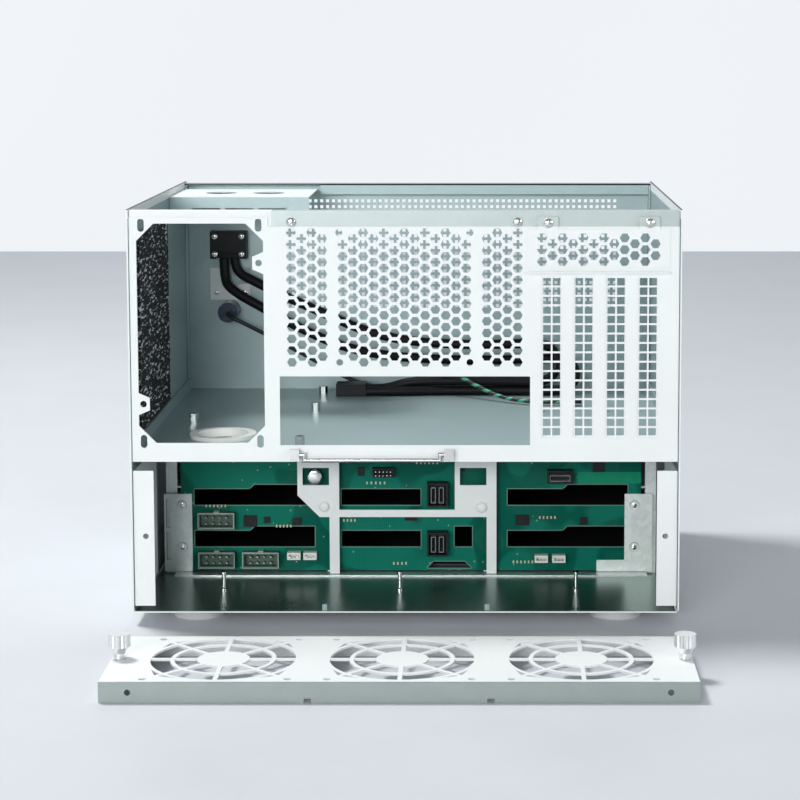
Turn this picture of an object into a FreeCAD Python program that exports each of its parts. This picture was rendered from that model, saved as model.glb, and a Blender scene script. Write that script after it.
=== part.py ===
import FreeCAD, Part
import math
import os

V = FreeCAD.Vector

# Driving dimensions, in millimetres. X is to the right seen from the rear, Y runs from
# the rear towards the drive bays at the front, and Z is up.

# Sheet metal and general clearances
shell_sheet = 1.2
panel_sheet = 1.2
inner_sheet = 1.0
shell_bend = 2.5
seat_gap = 0.3
running_gap = 0.06

# Feet
foot_height = 8.0
foot_radius = 19.0
foot_inset_x = 39.0
foot_inset_y = 30.0

# Power supply bay, on the standard supply pattern
psu_width = 86.0
psu_edge = 6.0
psu_headroom = 3.9
psu_side_gap = 1.8
psu_lift = 3.1
psu_hole_span_x = 74.0
psu_hole_span_z = 138.0
psu_slot_width = 4.2
psu_slot_length = 8.4
psu_tooth_drop = 24.0
psu_tooth_half = 4.0
psu_tooth_slope = 3.0
psu_tooth_reach = 7.0
psu_window_side = 3.0
psu_window_lap = 1.0
psu_corner_land = 0.7

# Board bay: port window, expansion slots and standoffs, on the standard board grid
io_gap = 6.6
io_width = 158.75
io_height = 44.45
slot_count = 4
slot_pitch = 20.32
slot_gap = 13.625
slot_window_width = 12.8
slot_side_room = 19.8
slot_window_foot = 5.2
cover_width = 18.4
cover_sheet = 0.9
cover_hole = 4.9
cover_columns = 2
cover_rows = 17
cover_bar = 1.1
cover_lap = 3.0
standoff_height = 6.5
standoff_flats = 5.5
standoff_bore = 1.6
board_edge_x = 9.4
board_edge_y = 10.0
board_hole_span_x = 203.2
board_hole_mid_x = 157.48
board_hole_mid_y = 154.94
board_hole_span_y = 227.33
board_hole_step = 22.86
board_front_room = 30.47
board_room = 157.0

# Hexagon vent with a fan pattern in its middle
hex_pitch = 7.5
hex_flats = 5.6
vent_rows = 12
vent_side_columns = 4
vent_fan_columns = 13
vent_gap = 8.9
rear_fan_span = 82.5
fan_hole_radius = 2.2

# Rear panel folds
rear_setback = 1.0
rear_flange = 10.0
rear_panel_drop = 2.8
band_height = 11.0
band_height_psu = 5.0

# Slot retainer above the expansion slots
retainer_sheet = 1.0
retainer_width = 90.0
retainer_height = 27.7
retainer_lip = 3.0
retainer_tab_width = 13.0
retainer_tab_height = 8.0
retainer_columns = 12
retainer_rows = 3
retainer_overlap = 2.3

# Drive bays, cage and backplane
bay_columns = ["left", "middle", "right"]
bay_rows = ["low", "centre", "top"]
row_pitch = 29.0
ledge_width = 4.0
cage_head_room = 10.6
flange_width = 13.3
fan_room = 100.0
cage_base_lead = 7.0
cage_flange = 7.0
circuit_thick = 1.6
socket_room = 10.4
tray_side_gap = 0.5
tray_wall = 1.2
tray_wall_height = 20.0
bezel_depth = 12.0
bezel_gap = 0.4
lever_thick = 6.0
lever_height = 18.0
lever_end_gap = 4.6
lever_finger_room = 9.0
lever_side_gap = 0.4

# Air cut-outs through the backplane, from the middle of each bay
cutout_height = 14.0
cutout_foot = 16.5
cutout_half_width = 41.0
cutout_step = 3.0
middle_cutout_half_width = 27.0
middle_cutout_shift = -20.5
small_cutout_shift = 35.7
small_cutout_half_width = 6.0
foot_cutout_shift = 26.0
foot_cutout_half_width = 15.0
foot_cutout_height = 4.3
foot_cutout_lift = 1.6

# Connectors on the backplane
drive_socket = (42.0, 8.0, 6.0)
drive_socket_foot = 6.0
power_socket = (24.5, 8.5, 10.5)
data_socket = (14.3, 9.0, 16.3)
side_socket = (17.4, 7.0, 9.0)
header_socket = (9.0, 6.0, 5.0)
pin_header = (15.0, 5.5, 6.0)
socket_wall = 1.2

# Brace and brackets behind the backplane
brace_stand = 6.8
brace_strap = 6.7
brace_shift = 1.5
brace_bar = 5.0
brace_gusset_width = 25.0
brace_corner_cut = 15.0
brace_window_rise = 17.0
brace_window_width = 18.0
brace_window_height = 12.0
brace_boss_radius = 3.0
bracket_width = 19.0
bracket_height = 54.0
bracket_foot = 19.0
bracket_foot_height = 8.0
bracket_outset = 8.2
bracket_slot_inset = 1.2
bracket_slot_width = 3.0
bracket_slot_drop = 3.5
bracket_slot_length = 20.0
bracket_slot_pitch = 22.5
bracket_rivet_inset = 6.7
bracket_rivet_drop = 7.8
bracket_rivet_pitch = 29.0
flange_foot_gap = 3.0
flange_top_gap = 6.0
rivet_radius = 3.0
rivet_height = 1.2

# Fan panel, lying on the surface behind the case with its outer face up
panel_flange = 12.0
panel_side_gap = 3.3
panel_edge_gap = 0.65
panel_apart = 70.0
fan_pitch = 105.0
fan_count = 3
fan_hub_radius = 15.4
fan_ring_radius = 28.5
fan_ring_band = 2.5
fan_vent_radius = 42.5
fan_corner_inner = 45.0
fan_corner_outer = 49.0
fan_corner_turn = 16.0
panel_hole_radius = 1.8
panel_hole_inset = 16.5
fan_spokes = 8
fan_spoke_width = 2.6
fan_span = 82.5
screw_hole_radius = 3.6
panel_notch_width = 4.0
panel_notch_height = 2.5
panel_shift = 2.5
panel_notch_span = 104.0
catch_height = 4.0
catch_width = 3.0

# Captive thumbscrews
thumb_head_radius = 6.5
thumb_head_height = 7.5
thumb_neck_height = 3.5
thumb_cup_height = 4.0
thumb_flutes = 18
thumb_flute_depth = 0.6
thumb_tip_length = 9.0
thumb_inset = 4.5

# Pull bail under the port window
bail_wire_radius = 1.4
bail_length = 98.0
bail_drop = 3.6
bail_rise = 5.0
bail_shift = -21.0
lug_width = 6.0
lug_height = 7.0
lug_reach = 5.6

# Front panel, ports and button
front_flange = 10.0
front_lip = 8.0
port_width = 27.0
port_height = 20.4
port_depth = 12.6
port_from_wall = 18.6
port_from_top = 47.0
button_from_wall = 32.2
button_from_top = 96.7
button_radius = 6.0
button_gap = 0.3
button_wall = 1.5
button_stand = 2.0
button_length = 6.0
button_body_length = 15.0
button_travel_room = 2.5
port_bracket_width = 30.0
port_bracket_height = 24.0
port_bracket_gap = 8.0

# Drive shelf over the front of the supply bay
shelf_width = 99.0
shelf_depth = 80.0
shelf_flange = 14.0
shelf_hole_radius = 11.5
shelf_hole_span = 34.5
shelf_slot_length = 20.0
shelf_slot_height = 2.0
shelf_slot_pitch = 23.4
shelf_drop = 4.0

# Dust filter and its wall vent
filter_thick = 5.0
filter_depth = 126.0
filter_height = 126.0
filter_from_rear = 14.0
filter_lift = 13.0
wall_slot_count = 11
wall_slot_width = 5.0
wall_slot_margin = 12.0

# Cable hole in the board tray
tray_sheet = 1.2
tray_lip = 8.0
cable_hole_radius = 19.0
cable_hole_from_wall = 50.0
cable_hole_from_rear = 68.0
grommet_wall = 2.0
grommet_lip = 3.0
grommet_rise = 2.5

# Cords: radius of each, and the routes by hand
port_cable_radius = 3.5
button_lead_radius = 1.5
port_plug_size = (22.0, 17.0, 9.0)
button_plug_size = (14.0, 6.0, 3.4)

# Worked-out levels, from the surface up
floor_under = foot_height
floor_top = floor_under + shell_sheet
cage_base_top = floor_top + inner_sheet
row_floor = cage_base_top + inner_sheet
tray_under = row_floor + len(bay_rows) * row_pitch + cage_head_room
tray_top = tray_under + tray_sheet
io_bottom = tray_top + standoff_height
io_top = io_bottom + io_height
psu_height = psu_hole_span_z + 2 * psu_edge
psu_room = psu_lift + psu_height + psu_headroom
shell_top = tray_top + max(board_room, psu_room)
rear_bottom = tray_under - rear_panel_drop
rear_top = shell_top - 1.0
band_bottom = shell_top - band_height
psu_mid_z = tray_top + psu_lift + psu_height / 2
psu_window_width = psu_hole_span_x + 2 * psu_window_side
psu_window_height = psu_hole_span_z + 2 * psu_window_lap
psu_slot_reach = psu_slot_length / 2 + psu_slot_width / 2
psu_chamfer = psu_window_side + psu_window_lap + psu_slot_reach + psu_corner_land
vent_mid_z = io_top + vent_gap + (vent_rows - 1) * hex_pitch / 2

# Worked-out widths, from the left wall to the right
slots_span = (slot_count - 1) * slot_pitch
inner_width = (psu_side_gap + psu_width + io_gap + io_width + slot_gap + slots_span + slot_side_room)
wall_x = inner_width / 2
shell_x = wall_x + shell_sheet
psu_mid_x = -wall_x + psu_side_gap + psu_width / 2
io_mid_x = psu_mid_x + psu_width / 2 + io_gap + io_width / 2
slot_first_x = io_mid_x + io_width / 2 + slot_gap
cage_x = wall_x - flange_width
bay_pitch = 2 * cage_x / len(bay_columns)
panel_x = wall_x - panel_side_gap

# Worked-out depths, from the rear edge of the shell
rear_face = rear_setback
rear_inner = rear_face + panel_sheet
case_depth = rear_inner + board_edge_y + board_hole_span_y + board_front_room
backplane_y = fan_room
backplane_front = backplane_y + circuit_thick
tray_back = backplane_front + socket_room
bezel_back = case_depth - bezel_depth
front_inner = case_depth - panel_sheet
panel_height = rear_bottom - floor_top - 2 * panel_edge_gap
panel_far = -panel_apart
panel_near = panel_far - panel_height
brace_y = backplane_y - brace_stand
flange_y = panel_sheet + seat_gap

# The origin lies on the surface, under the middle of everything
rearmost = panel_near
foremost = case_depth + button_stand
middle_y = (rearmost + foremost) / 2

os.makedirs("parts", exist_ok=True)


def save(name, shape):
    moved = shape.copy()
    moved.translate(V(0, -middle_y, 0))
    moved.exportStep("parts/" + name + ".step")


# Small helpers for the forms that recur

def box(x0, x1, y0, y1, z0, z1):
    return Part.makeBox(x1 - x0, y1 - y0, z1 - z0, V(x0, y0, z0))


def rod_x(radius, x0, x1, y, z):
    return Part.makeCylinder(radius, x1 - x0, V(x0, y, z), V(1, 0, 0))


def rod_y(radius, x, y0, y1, z):
    return Part.makeCylinder(radius, y1 - y0, V(x, y0, z), V(0, 1, 0))


def rod_z(radius, x, y, z0, z1):
    return Part.makeCylinder(radius, z1 - z0, V(x, y, z0), V(0, 0, 1))


def joined(shapes):
    return shapes[0].multiFuse(shapes[1:]).removeSplitter()


def outline(points):
    return Part.makePolygon(points + points[:1])


def rectangle_xz(x0, x1, z0, z1, y):
    return outline([V(x0, y, z0), V(x1, y, z0), V(x1, y, z1), V(x0, y, z1)])


def rectangle_xy(x0, x1, y0, y1, z):
    return outline([V(x0, y0, z), V(x1, y0, z), V(x1, y1, z), V(x0, y1, z)])


def circle_xz(x, y, z, radius):
    return Part.Wire(Part.makeCircle(radius, V(x, y, z), V(0, 1, 0)))


def circle_xy(x, y, z, radius):
    return Part.Wire(Part.makeCircle(radius, V(x, y, z), V(0, 0, 1)))


def tall_slot_xz(x, y, z, width, length):
    """A slot with round ends, standing along Z."""
    r = width / 2
    h = length / 2 - r
    left = Part.makeLine(V(x - r, y, z + h), V(x - r, y, z - h))
    foot = Part.Arc(V(x - r, y, z - h), V(x, y, z - h - r), V(x + r, y, z - h)).toShape()
    right = Part.makeLine(V(x + r, y, z - h), V(x + r, y, z + h))
    head = Part.Arc(V(x + r, y, z + h), V(x, y, z + h + r), V(x - r, y, z + h)).toShape()
    return Part.Wire([left, foot, right, head])


def hexagon_xz(x, y, z, flats):
    """A hexagon with level top and bottom sides."""
    corner = flats / math.sqrt(3)
    turns = [math.radians(60 * k) for k in range(6)]
    return outline([V(x + corner * math.cos(a), y, z + corner * math.sin(a)) for a in turns])


def pierced(rim, holes, thickness):
    """A sheet with the given rim and holes, drawn out along a vector."""
    return Part.makeFace([rim] + holes, "Part::FaceMakerCheese").extrude(thickness)


def mirrored(shape):
    return shape.mirror(V(0, 0, 0), V(1, 0, 0))


# Outer shell: floor and two side walls folded from one sheet

def shell_profile():
    """The U of the shell in the XZ plane, with round bends inside and out."""
    def corner(side, reach, bend):
        x = side * reach
        low = shell_x - reach + floor_under
        mid = bend * (1 - math.sqrt(0.5))
        wall_end = V(x, 0, low + bend)
        middle = V(x - side * mid, 0, low + mid)
        floor_end = V(x - side * bend, 0, low)
        return wall_end, middle, floor_end

    lo, lm, lf = corner(-1, shell_x, shell_bend)
    ro, rm, rf = corner(1, shell_x, shell_bend)
    inner_bend = shell_bend - shell_sheet
    lo2, lm2, lf2 = corner(-1, wall_x, inner_bend)
    ro2, rm2, rf2 = corner(1, wall_x, inner_bend)
    top = shell_top
    edges = [
        Part.makeLine(V(-shell_x, 0, top), lo),
        Part.Arc(lo, lm, lf).toShape(),
        Part.makeLine(lf, rf),
        Part.Arc(rf, rm, ro).toShape(),
        Part.makeLine(ro, V(shell_x, 0, top)),
        Part.makeLine(V(shell_x, 0, top), V(wall_x, 0, top)),
        Part.makeLine(V(wall_x, 0, top), ro2),
        Part.Arc(ro2, rm2, rf2).toShape(),
        Part.makeLine(rf2, lf2),
        Part.Arc(lf2, lm2, lo2).toShape(),
        Part.makeLine(lo2, V(-wall_x, 0, top)),
        Part.makeLine(V(-wall_x, 0, top), V(-shell_x, 0, top)),
    ]
    return Part.Wire(edges)


filter_y0 = filter_from_rear
filter_y1 = filter_y0 + filter_depth
filter_z0 = tray_top + filter_lift
filter_z1 = filter_z0 + filter_height


def outer_shell():
    shell = Part.Face(shell_profile()).extrude(V(0, case_depth, 0))
    first = filter_y0 + wall_slot_margin
    pitch = (filter_depth - 2 * wall_slot_margin) / (wall_slot_count - 1)
    z0 = filter_z0 + wall_slot_margin
    z1 = filter_z1 - wall_slot_margin
    cuts = []
    for k in range(wall_slot_count):
        y = first + k * pitch
        cuts.append(box(-shell_x - 1, -wall_x + 1, y - wall_slot_width / 2, y + wall_slot_width / 2, z0, z1))
    shell = shell.cut(cuts)
    catches = []
    for side in (-1, 1):
        x = side * panel_notch_span / 2
        half = catch_width / 2
        catch_top = floor_top + catch_height
        catches.append(box(x - half, x + half, inner_sheet, 2 * inner_sheet, floor_top, catch_top))
    return joined([shell] + catches)


# Rear panel: one sheet with the supply window, port window, slots and vent

def psu_window(y):
    """The supply window: cut corners, and one tooth a side for the off-corner holes."""
    w = psu_window_width / 2
    h = psu_window_height / 2
    tooth = psu_hole_span_z / 2 - psu_tooth_drop
    wide = psu_tooth_half + psu_tooth_slope
    reach = w - psu_tooth_reach
    half = [
        (w, -h + psu_chamfer),
        (w, tooth - wide),
        (reach, tooth - psu_tooth_half),
        (reach, tooth + psu_tooth_half),
        (w, tooth + wide),
        (w, h - psu_chamfer),
        (w - psu_chamfer, h),
        (-w + psu_chamfer, h),
    ]
    turned = [(-x, -z) for x, z in half]
    return outline([V(psu_mid_x + x, y, psu_mid_z + z) for x, z in half + turned])


def psu_slots(y):
    found = []
    for sx in (-1, 1):
        for sz in (-1, 1):
            x = psu_mid_x + sx * psu_hole_span_x / 2
            z = psu_mid_z + sz * psu_hole_span_z / 2
            found.append(tall_slot_xz(x, y, z, psu_slot_width, psu_slot_length))
        z = psu_mid_z + sx * (psu_hole_span_z / 2 - psu_tooth_drop)
        found.append(circle_xz(psu_mid_x + sx * psu_hole_span_x / 2, y, z, psu_slot_width / 2))
    return found


def hex_column(x, y, mid_z, rows, skip_ends):
    bottom = mid_z - (rows - 1) * hex_pitch / 2
    first = 1 if skip_ends else 0
    count = rows - first
    return [hexagon_xz(x, y, bottom + k * hex_pitch, hex_flats) for k in range(first, count)]


def vent_holes(y):
    """Three groups of hexagon columns; the middle one spans the fan pattern."""
    column = hex_pitch * math.sqrt(3) / 2
    fan_half = (vent_fan_columns - 1) / 2
    side_start = fan_half + 2
    holes = []
    for k in range(vent_fan_columns):
        place = k - fan_half
        long_column = k % 2 == 0
        rows = vent_rows if long_column else vent_rows - 1
        at_end = k in (0, vent_fan_columns - 1)
        holes += hex_column(io_mid_x + place * column, y, vent_mid_z, rows, at_end)
    for k in range(vent_side_columns):
        rows = vent_rows - 1 if k % 2 == 0 else vent_rows
        for side in (-1, 1):
            holes += hex_column(io_mid_x + side * (side_start + k) * column, y, vent_mid_z, rows, False)
    for sx in (-1, 1):
        for sz in (-1, 1):
            x = io_mid_x + sx * rear_fan_span / 2
            holes.append(circle_xz(x, y, vent_mid_z + sz * rear_fan_span / 2, fan_hole_radius))
    return holes


retainer_bottom = band_bottom - 1.5 - retainer_height
slot_bottom = io_bottom + slot_window_foot
slot_top = retainer_bottom - retainer_overlap


def slot_x(k):
    return slot_first_x + k * slot_pitch


def slot_windows(y):
    half = slot_window_width / 2
    return [
        rectangle_xz(slot_x(k) - half, slot_x(k) + half, slot_bottom, slot_top, y)
        for k in range(slot_count)
    ]


def rear_panel():
    x = wall_x - seat_gap
    y = rear_face
    step = band_bottom
    psu_right = psu_mid_x + psu_width / 2
    low_band = shell_top - band_height_psu
    rim = outline([
        V(-x, y, rear_bottom), V(x, y, rear_bottom), V(x, y, step), V(psu_right, y, step),
        V(psu_right, y, low_band), V(-x, y, low_band),
    ])
    io = rectangle_xz(io_mid_x - io_width / 2, io_mid_x + io_width / 2, io_bottom, io_top, y)
    holes = [psu_window(y), io] + psu_slots(y) + vent_holes(y) + slot_windows(y) + retainer_holes(y)
    sheet = pierced(rim, holes, V(0, panel_sheet, 0))
    back = rear_inner + panel_sheet
    lap = panel_sheet
    band = box(psu_right - lap, x, rear_inner, back, step - lap, rear_top)
    psu_band = box(-x, psu_right, rear_inner, back, low_band - lap, rear_top)
    top = box(-x, x, rear_inner, rear_inner + rear_flange, rear_top - panel_sheet, rear_top)
    folds = [band, psu_band, top]
    for side in (-1, 1):
        edge = side * x
        inside = edge - side * panel_sheet
        low, high = min(edge, inside), max(edge, inside)
        folds.append(box(low, high, rear_inner, rear_inner + rear_flange, tray_top + tray_lip + 1, rear_top))
    foot = box(-x, x, rear_inner, rear_inner + panel_sheet, rear_bottom, tray_under - seat_gap)
    return joined([sheet] + folds + [foot])


# Expansion slot covers and their retainer

def slot_cover(k):
    """A blank with a grid of square holes behind its window, and a narrow tongue at its foot."""
    x = slot_x(k)
    half = cover_width / 2
    tongue = half - cover_lap
    y = rear_inner
    foot = slot_bottom - cover_lap
    top = slot_top + retainer_overlap + cover_lap
    tip = foot - cover_lap
    rim = outline([
        V(x - tongue, y, tip), V(x + tongue, y, tip), V(x + half, y, foot), V(x + half, y, top),
        V(x - half, y, top), V(x - half, y, foot),
    ])
    pitch = cover_hole + cover_bar
    first_x = x - (cover_columns * pitch - cover_bar) / 2
    first_z = (slot_bottom + slot_top - cover_rows * pitch + cover_bar) / 2
    holes = []
    for column in range(cover_columns):
        x0 = first_x + column * pitch
        for row in range(cover_rows):
            z0 = first_z + row * pitch
            holes.append(rectangle_xz(x0, x0 + cover_hole, z0, z0 + cover_hole, y))
    return pierced(rim, holes, V(0, cover_sheet, 0))


retainer_mid_x = slot_first_x + slots_span / 2 - 1.0
retainer_top = retainer_bottom + retainer_height
retainer_y = rear_face - retainer_sheet


def retainer_tab_x(side):
    return retainer_mid_x + side * (retainer_width / 2 - retainer_tab_width)


def retainer_holes(y):
    """Staggered hexagons that go through the retainer and the panel behind it."""
    column = hex_pitch * math.sqrt(3) / 2
    middle = (retainer_bottom + retainer_top) / 2 + retainer_sheet
    holes = []
    for k in range(retainer_columns):
        x = retainer_mid_x + (k - (retainer_columns - 1) / 2) * column
        rows = retainer_rows if k % 2 == 0 else retainer_rows - 1
        holes += hex_column(x, y, middle, rows, False)
    return holes


def slot_retainer():
    half = retainer_width / 2
    y = retainer_y
    rim = rectangle_xz(retainer_mid_x - half, retainer_mid_x + half, retainer_bottom, retainer_top, y)
    sheet = pierced(rim, retainer_holes(y), V(0, retainer_sheet, 0))
    lip = box(retainer_mid_x - half, retainer_mid_x + half, y - retainer_lip, y + retainer_sheet,
              retainer_bottom, retainer_bottom + retainer_sheet)
    tabs = []
    for side in (-1, 1):
        x0 = retainer_tab_x(side) - retainer_tab_width / 2
        x1 = x0 + retainer_tab_width
        top = retainer_top + retainer_tab_height
        tabs.append(box(x0, x1, y, rear_face, retainer_top - retainer_sheet, top))
        tabs.append(box(x0, x1, rear_face, rear_inner, band_bottom + seat_gap, top))
    return joined([sheet, lip] + tabs)


def retainer_screws():
    z = retainer_top + retainer_tab_height / 2
    return Part.makeCompound([
        rod_y(rivet_radius, retainer_tab_x(side), retainer_y - rivet_height, retainer_y, z)
        for side in (-1, 1)
    ])


# Board tray with upturned edges, its cable hole, grommet and standoffs

cable_hole_x = -wall_x + cable_hole_from_wall


def board_tray():
    x = wall_x - seat_gap
    y0 = rear_inner + seat_gap
    y1 = front_inner - seat_gap
    rim = rectangle_xy(-x, x, y0, y1, tray_under)
    hole = circle_xy(cable_hole_x, cable_hole_from_rear, tray_under, cable_hole_radius)
    sheet = pierced(rim, [hole], V(0, 0, tray_sheet))
    lips = []
    for side in (-1, 1):
        edge = side * x
        inside = edge - side * tray_sheet
        lips.append(box(min(edge, inside), max(edge, inside), y0, y1, tray_under, tray_top + tray_lip))
    return joined([sheet] + lips)


def cable_grommet():
    outer = cable_hole_radius - seat_gap / 2
    bore = outer - grommet_wall
    collar = cable_hole_radius + grommet_lip
    x = cable_hole_x
    y = cable_hole_from_rear
    under = tray_under - grommet_wall
    ring = rod_z(outer, x, y, under, tray_top + grommet_rise)
    ring = ring.fuse(rod_z(collar, x, y, tray_top, tray_top + grommet_rise))
    return ring.cut(rod_z(bore, x, y, under - 1, tray_top + grommet_rise + 1))


board_x0 = io_mid_x - io_width / 2 + board_edge_x
board_y0 = rear_inner + board_edge_y


def standoff_places():
    right = board_x0 + board_hole_span_x
    middle = board_x0 + board_hole_mid_x
    deep = board_y0 + board_hole_span_y
    half_deep = board_y0 + board_hole_mid_y
    supply_stand = (psu_mid_x - psu_width / 4, half_deep - board_hole_step * 2)
    return [
        (board_x0, board_y0 + board_hole_step), (board_x0, half_deep), (board_x0, deep),
        (middle, half_deep), (right, board_y0), (right, half_deep), (right, deep), supply_stand,
    ]


def standoffs():
    corner = standoff_flats / math.sqrt(3)
    solids = []
    for x, y in standoff_places():
        turns = [math.radians(60 * k) for k in range(6)]
        rim = outline([V(x + corner * math.cos(a), y + corner * math.sin(a), tray_top) for a in turns])
        bore = circle_xy(x, y, tray_top, standoff_bore)
        solids.append(pierced(rim, [bore], V(0, 0, standoff_height)))
    return Part.makeCompound(solids)


# Front panel, ports, button and the tab bracket beside them

port_x = -wall_x + port_from_wall + port_width / 2
port_z = shell_top - port_from_top
button_x = -wall_x + button_from_wall
button_z = shell_top - button_from_top
bay_top = row_floor + len(bay_rows) * row_pitch + bezel_gap


def front_panel():
    """An inverted U over the drive bays, with its edges folded back."""
    x = wall_x - seat_gap
    side_foot = floor_top + shell_bend - shell_sheet
    leg = cage_x + bezel_gap
    y = front_inner
    top = rear_top
    rim = outline([
        V(-x, y, side_foot), V(-leg, y, side_foot), V(-leg, y, bay_top), V(leg, y, bay_top),
        V(leg, y, side_foot), V(x, y, side_foot), V(x, y, top), V(-x, y, top),
    ])
    port = rectangle_xz(port_x - port_width / 3, port_x + port_width / 3,
                        port_z - port_height / 3, port_z + port_height / 3, y)
    hole = circle_xz(button_x, y, button_z, button_radius + button_gap)
    sheet = pierced(rim, [port, hole], V(0, panel_sheet, 0))
    back = front_inner - front_flange
    flange = box(-x, x, back, front_inner, top - panel_sheet, top)
    lip_x = -wall_x + shelf_width + 2
    lip = box(lip_x, x - panel_sheet - seat_gap, back, back + panel_sheet, top - front_lip, top)
    sides = []
    for side in (-1, 1):
        edge = side * x
        inside = edge - side * panel_sheet
        low = tray_top + tray_lip + 1
        sides.append(box(min(edge, inside), max(edge, inside), back, front_inner, low, top))
    return joined([sheet, flange, lip] + sides)


def port_module():
    y1 = front_inner
    body = box(port_x - port_width / 2, port_x + port_width / 2, y1 - port_depth, y1,
               port_z - port_height / 2, port_z + port_height / 2)
    waist = box(port_x - port_width / 3, port_x + port_width / 3, y1 - port_depth - 1, y1 - port_depth / 2,
                port_z - port_height / 2 - 1, port_z - port_height / 4)
    mouths = []
    for side in (-1, 1):
        z = port_z + side * port_height / 6
        mouths.append(box(port_x - port_width / 4, port_x + port_width / 4, y1, y1 + panel_sheet,
                          z - port_height / 10, z + port_height / 10))
    return joined([body.fuse(mouths), ]).cut(waist)


def button_body():
    """A cup on the back of the front panel, with room for the button's travel."""
    floor = case_depth + button_stand - button_length - button_travel_room
    cup = rod_y(button_radius + button_wall, button_x, floor - button_body_length, front_inner, button_z)
    return cup.cut(rod_y(button_radius + button_gap, button_x, floor, front_inner, button_z))


def power_button():
    y1 = case_depth + button_stand
    return rod_y(button_radius, button_x, y1 - button_length, y1, button_z)


def port_bracket():
    """A plain plate with two screw tabs on the front panel, under the ports."""
    top = port_z - port_height / 2 - port_bracket_gap
    y = front_inner - inner_sheet
    half = port_bracket_width / 2
    rim = rectangle_xz(port_x - half, port_x + half, top - port_bracket_height, top, y)
    hole = rectangle_xz(port_x - half / 3, port_x + half / 2, top - port_bracket_height * 0.55,
                        top - port_bracket_height * 0.25, y)
    return pierced(rim, [hole], V(0, inner_sheet, 0))


# Drive shelf at the top, over the front of the supply bay

shelf_top = rear_top - shelf_drop
shelf_y1 = front_inner - front_flange - seat_gap
shelf_y0 = shelf_y1 - shelf_depth


def drive_shelf():
    x0 = -wall_x + seat_gap
    x1 = x0 + shelf_width
    mid_x = (x0 + x1) / 2
    mid_y = (shelf_y0 + shelf_y1) / 2
    under = shelf_top - inner_sheet
    rim = rectangle_xy(x0, x1, shelf_y0, shelf_y1, under)
    holes = [circle_xy(mid_x + s * shelf_hole_span / 2, mid_y, under, shelf_hole_radius) for s in (-1, 1)]
    top = pierced(rim, holes, V(0, 0, inner_sheet))
    face = rectangle_xz(x0, x1, shelf_top - shelf_flange, shelf_top, shelf_y0)
    z = shelf_top - shelf_flange + 2 * shelf_slot_height
    slots = []
    for k in (-1, 0, 1):
        x = mid_x + k * shelf_slot_pitch
        slots.append(rectangle_xz(x - shelf_slot_length / 2, x + shelf_slot_length / 2, z,
                                  z + shelf_slot_height, shelf_y0))
    rear = pierced(face, slots, V(0, inner_sheet, 0))
    left = box(x0, x0 + inner_sheet, shelf_y0, shelf_y1, shelf_top - shelf_flange, shelf_top)
    return joined([top, rear, left])


# Dust filter pad on the inside of the left wall

def dust_filter():
    x = -wall_x + seat_gap
    return box(x, x + filter_thick, filter_y0, filter_y1, filter_z0, filter_z1)


# Feet, each a stepped disc under the floor

def feet():
    solids = []
    for x in (-shell_x + foot_inset_x, shell_x - foot_inset_x):
        for y in (foot_inset_y, case_depth - foot_inset_y):
            solids.append(Part.makeCone(foot_radius - 2, foot_radius, foot_height, V(x, y, 0), V(0, 0, 1)))
    return Part.makeCompound(solids)


# Drive cage: a base and four walls with ledges, welded into one piece

def column_x(column):
    return (column - (len(bay_columns) - 1) / 2) * bay_pitch


def row_z(row):
    return row_floor + row * row_pitch


def drive_cage():
    y0 = backplane_front + seat_gap
    y1 = bezel_back - bezel_gap
    half = inner_sheet / 2
    base = box(-cage_x - half, cage_x + half, brace_y - cage_base_lead / 2, y1, floor_top, cage_base_top)
    pieces = [base]
    for side in (-1, 1):
        edges = sorted([side * cage_x, side * (cage_x + cage_flange)])
        pieces.append(box(*edges, y0, y0 + inner_sheet, floor_top, tray_under - seat_gap))
    for k in range(len(bay_columns) + 1):
        x = -cage_x + k * bay_pitch
        pieces.append(box(x - half, x + half, y0, y1, floor_top, tray_under - seat_gap))
        left = ledge_width if k > 0 else half
        right = ledge_width if k < len(bay_columns) else half
        for row in range(len(bay_rows)):
            z = row_z(row)
            pieces.append(box(x - left, x + right, y0, y1, z - inner_sheet, z))
    return joined(pieces)


# Backplane with its air cut-outs, and the connectors on both its faces

def stepped_cutout(x, half, z0, step_side):
    """A long cut-out that is higher on one half than on the other."""
    z1 = z0 + cutout_height
    y = backplane_y
    low = z1 - cutout_step
    points = [(-half, z0), (half, z0), (half, z1), (0, z1), (-cutout_step, low), (-half, low)]
    return outline([V(x + step_side * px, y, pz) for px, pz in points])


def backplane():
    edge = cage_x - flange_width / 4
    rim = rectangle_xz(-edge, edge, row_floor, row_floor + len(bay_rows) * row_pitch, backplane_y)
    holes = []
    for row in range(len(bay_rows) - 1):
        z = row_z(row) + cutout_foot
        holes.append(stepped_cutout(column_x(0), cutout_half_width, z, 1))
        holes.append(stepped_cutout(column_x(2), cutout_half_width, z, 1))
        mid = column_x(1) + middle_cutout_shift
        w = middle_cutout_half_width
        holes.append(rectangle_xz(mid - w, mid + w, z, z + cutout_height - cutout_step, backplane_y))
    small = column_x(1) + small_cutout_shift
    z = row_z(0) + cutout_foot
    holes.append(rectangle_xz(small - small_cutout_half_width, small + small_cutout_half_width,
                              z, z + cutout_height, backplane_y))
    foot = column_x(1) + foot_cutout_shift
    z0 = row_floor + foot_cutout_lift
    z1 = z0 + foot_cutout_height
    wide = foot_cutout_half_width
    narrow = wide - foot_cutout_height
    holes.append(outline([
        V(foot - wide, backplane_y, z0), V(foot + wide, backplane_y, z0),
        V(foot + narrow, backplane_y, z1), V(foot - narrow, backplane_y, z1),
    ]))
    return pierced(rim, holes, V(0, circuit_thick, 0))


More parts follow.
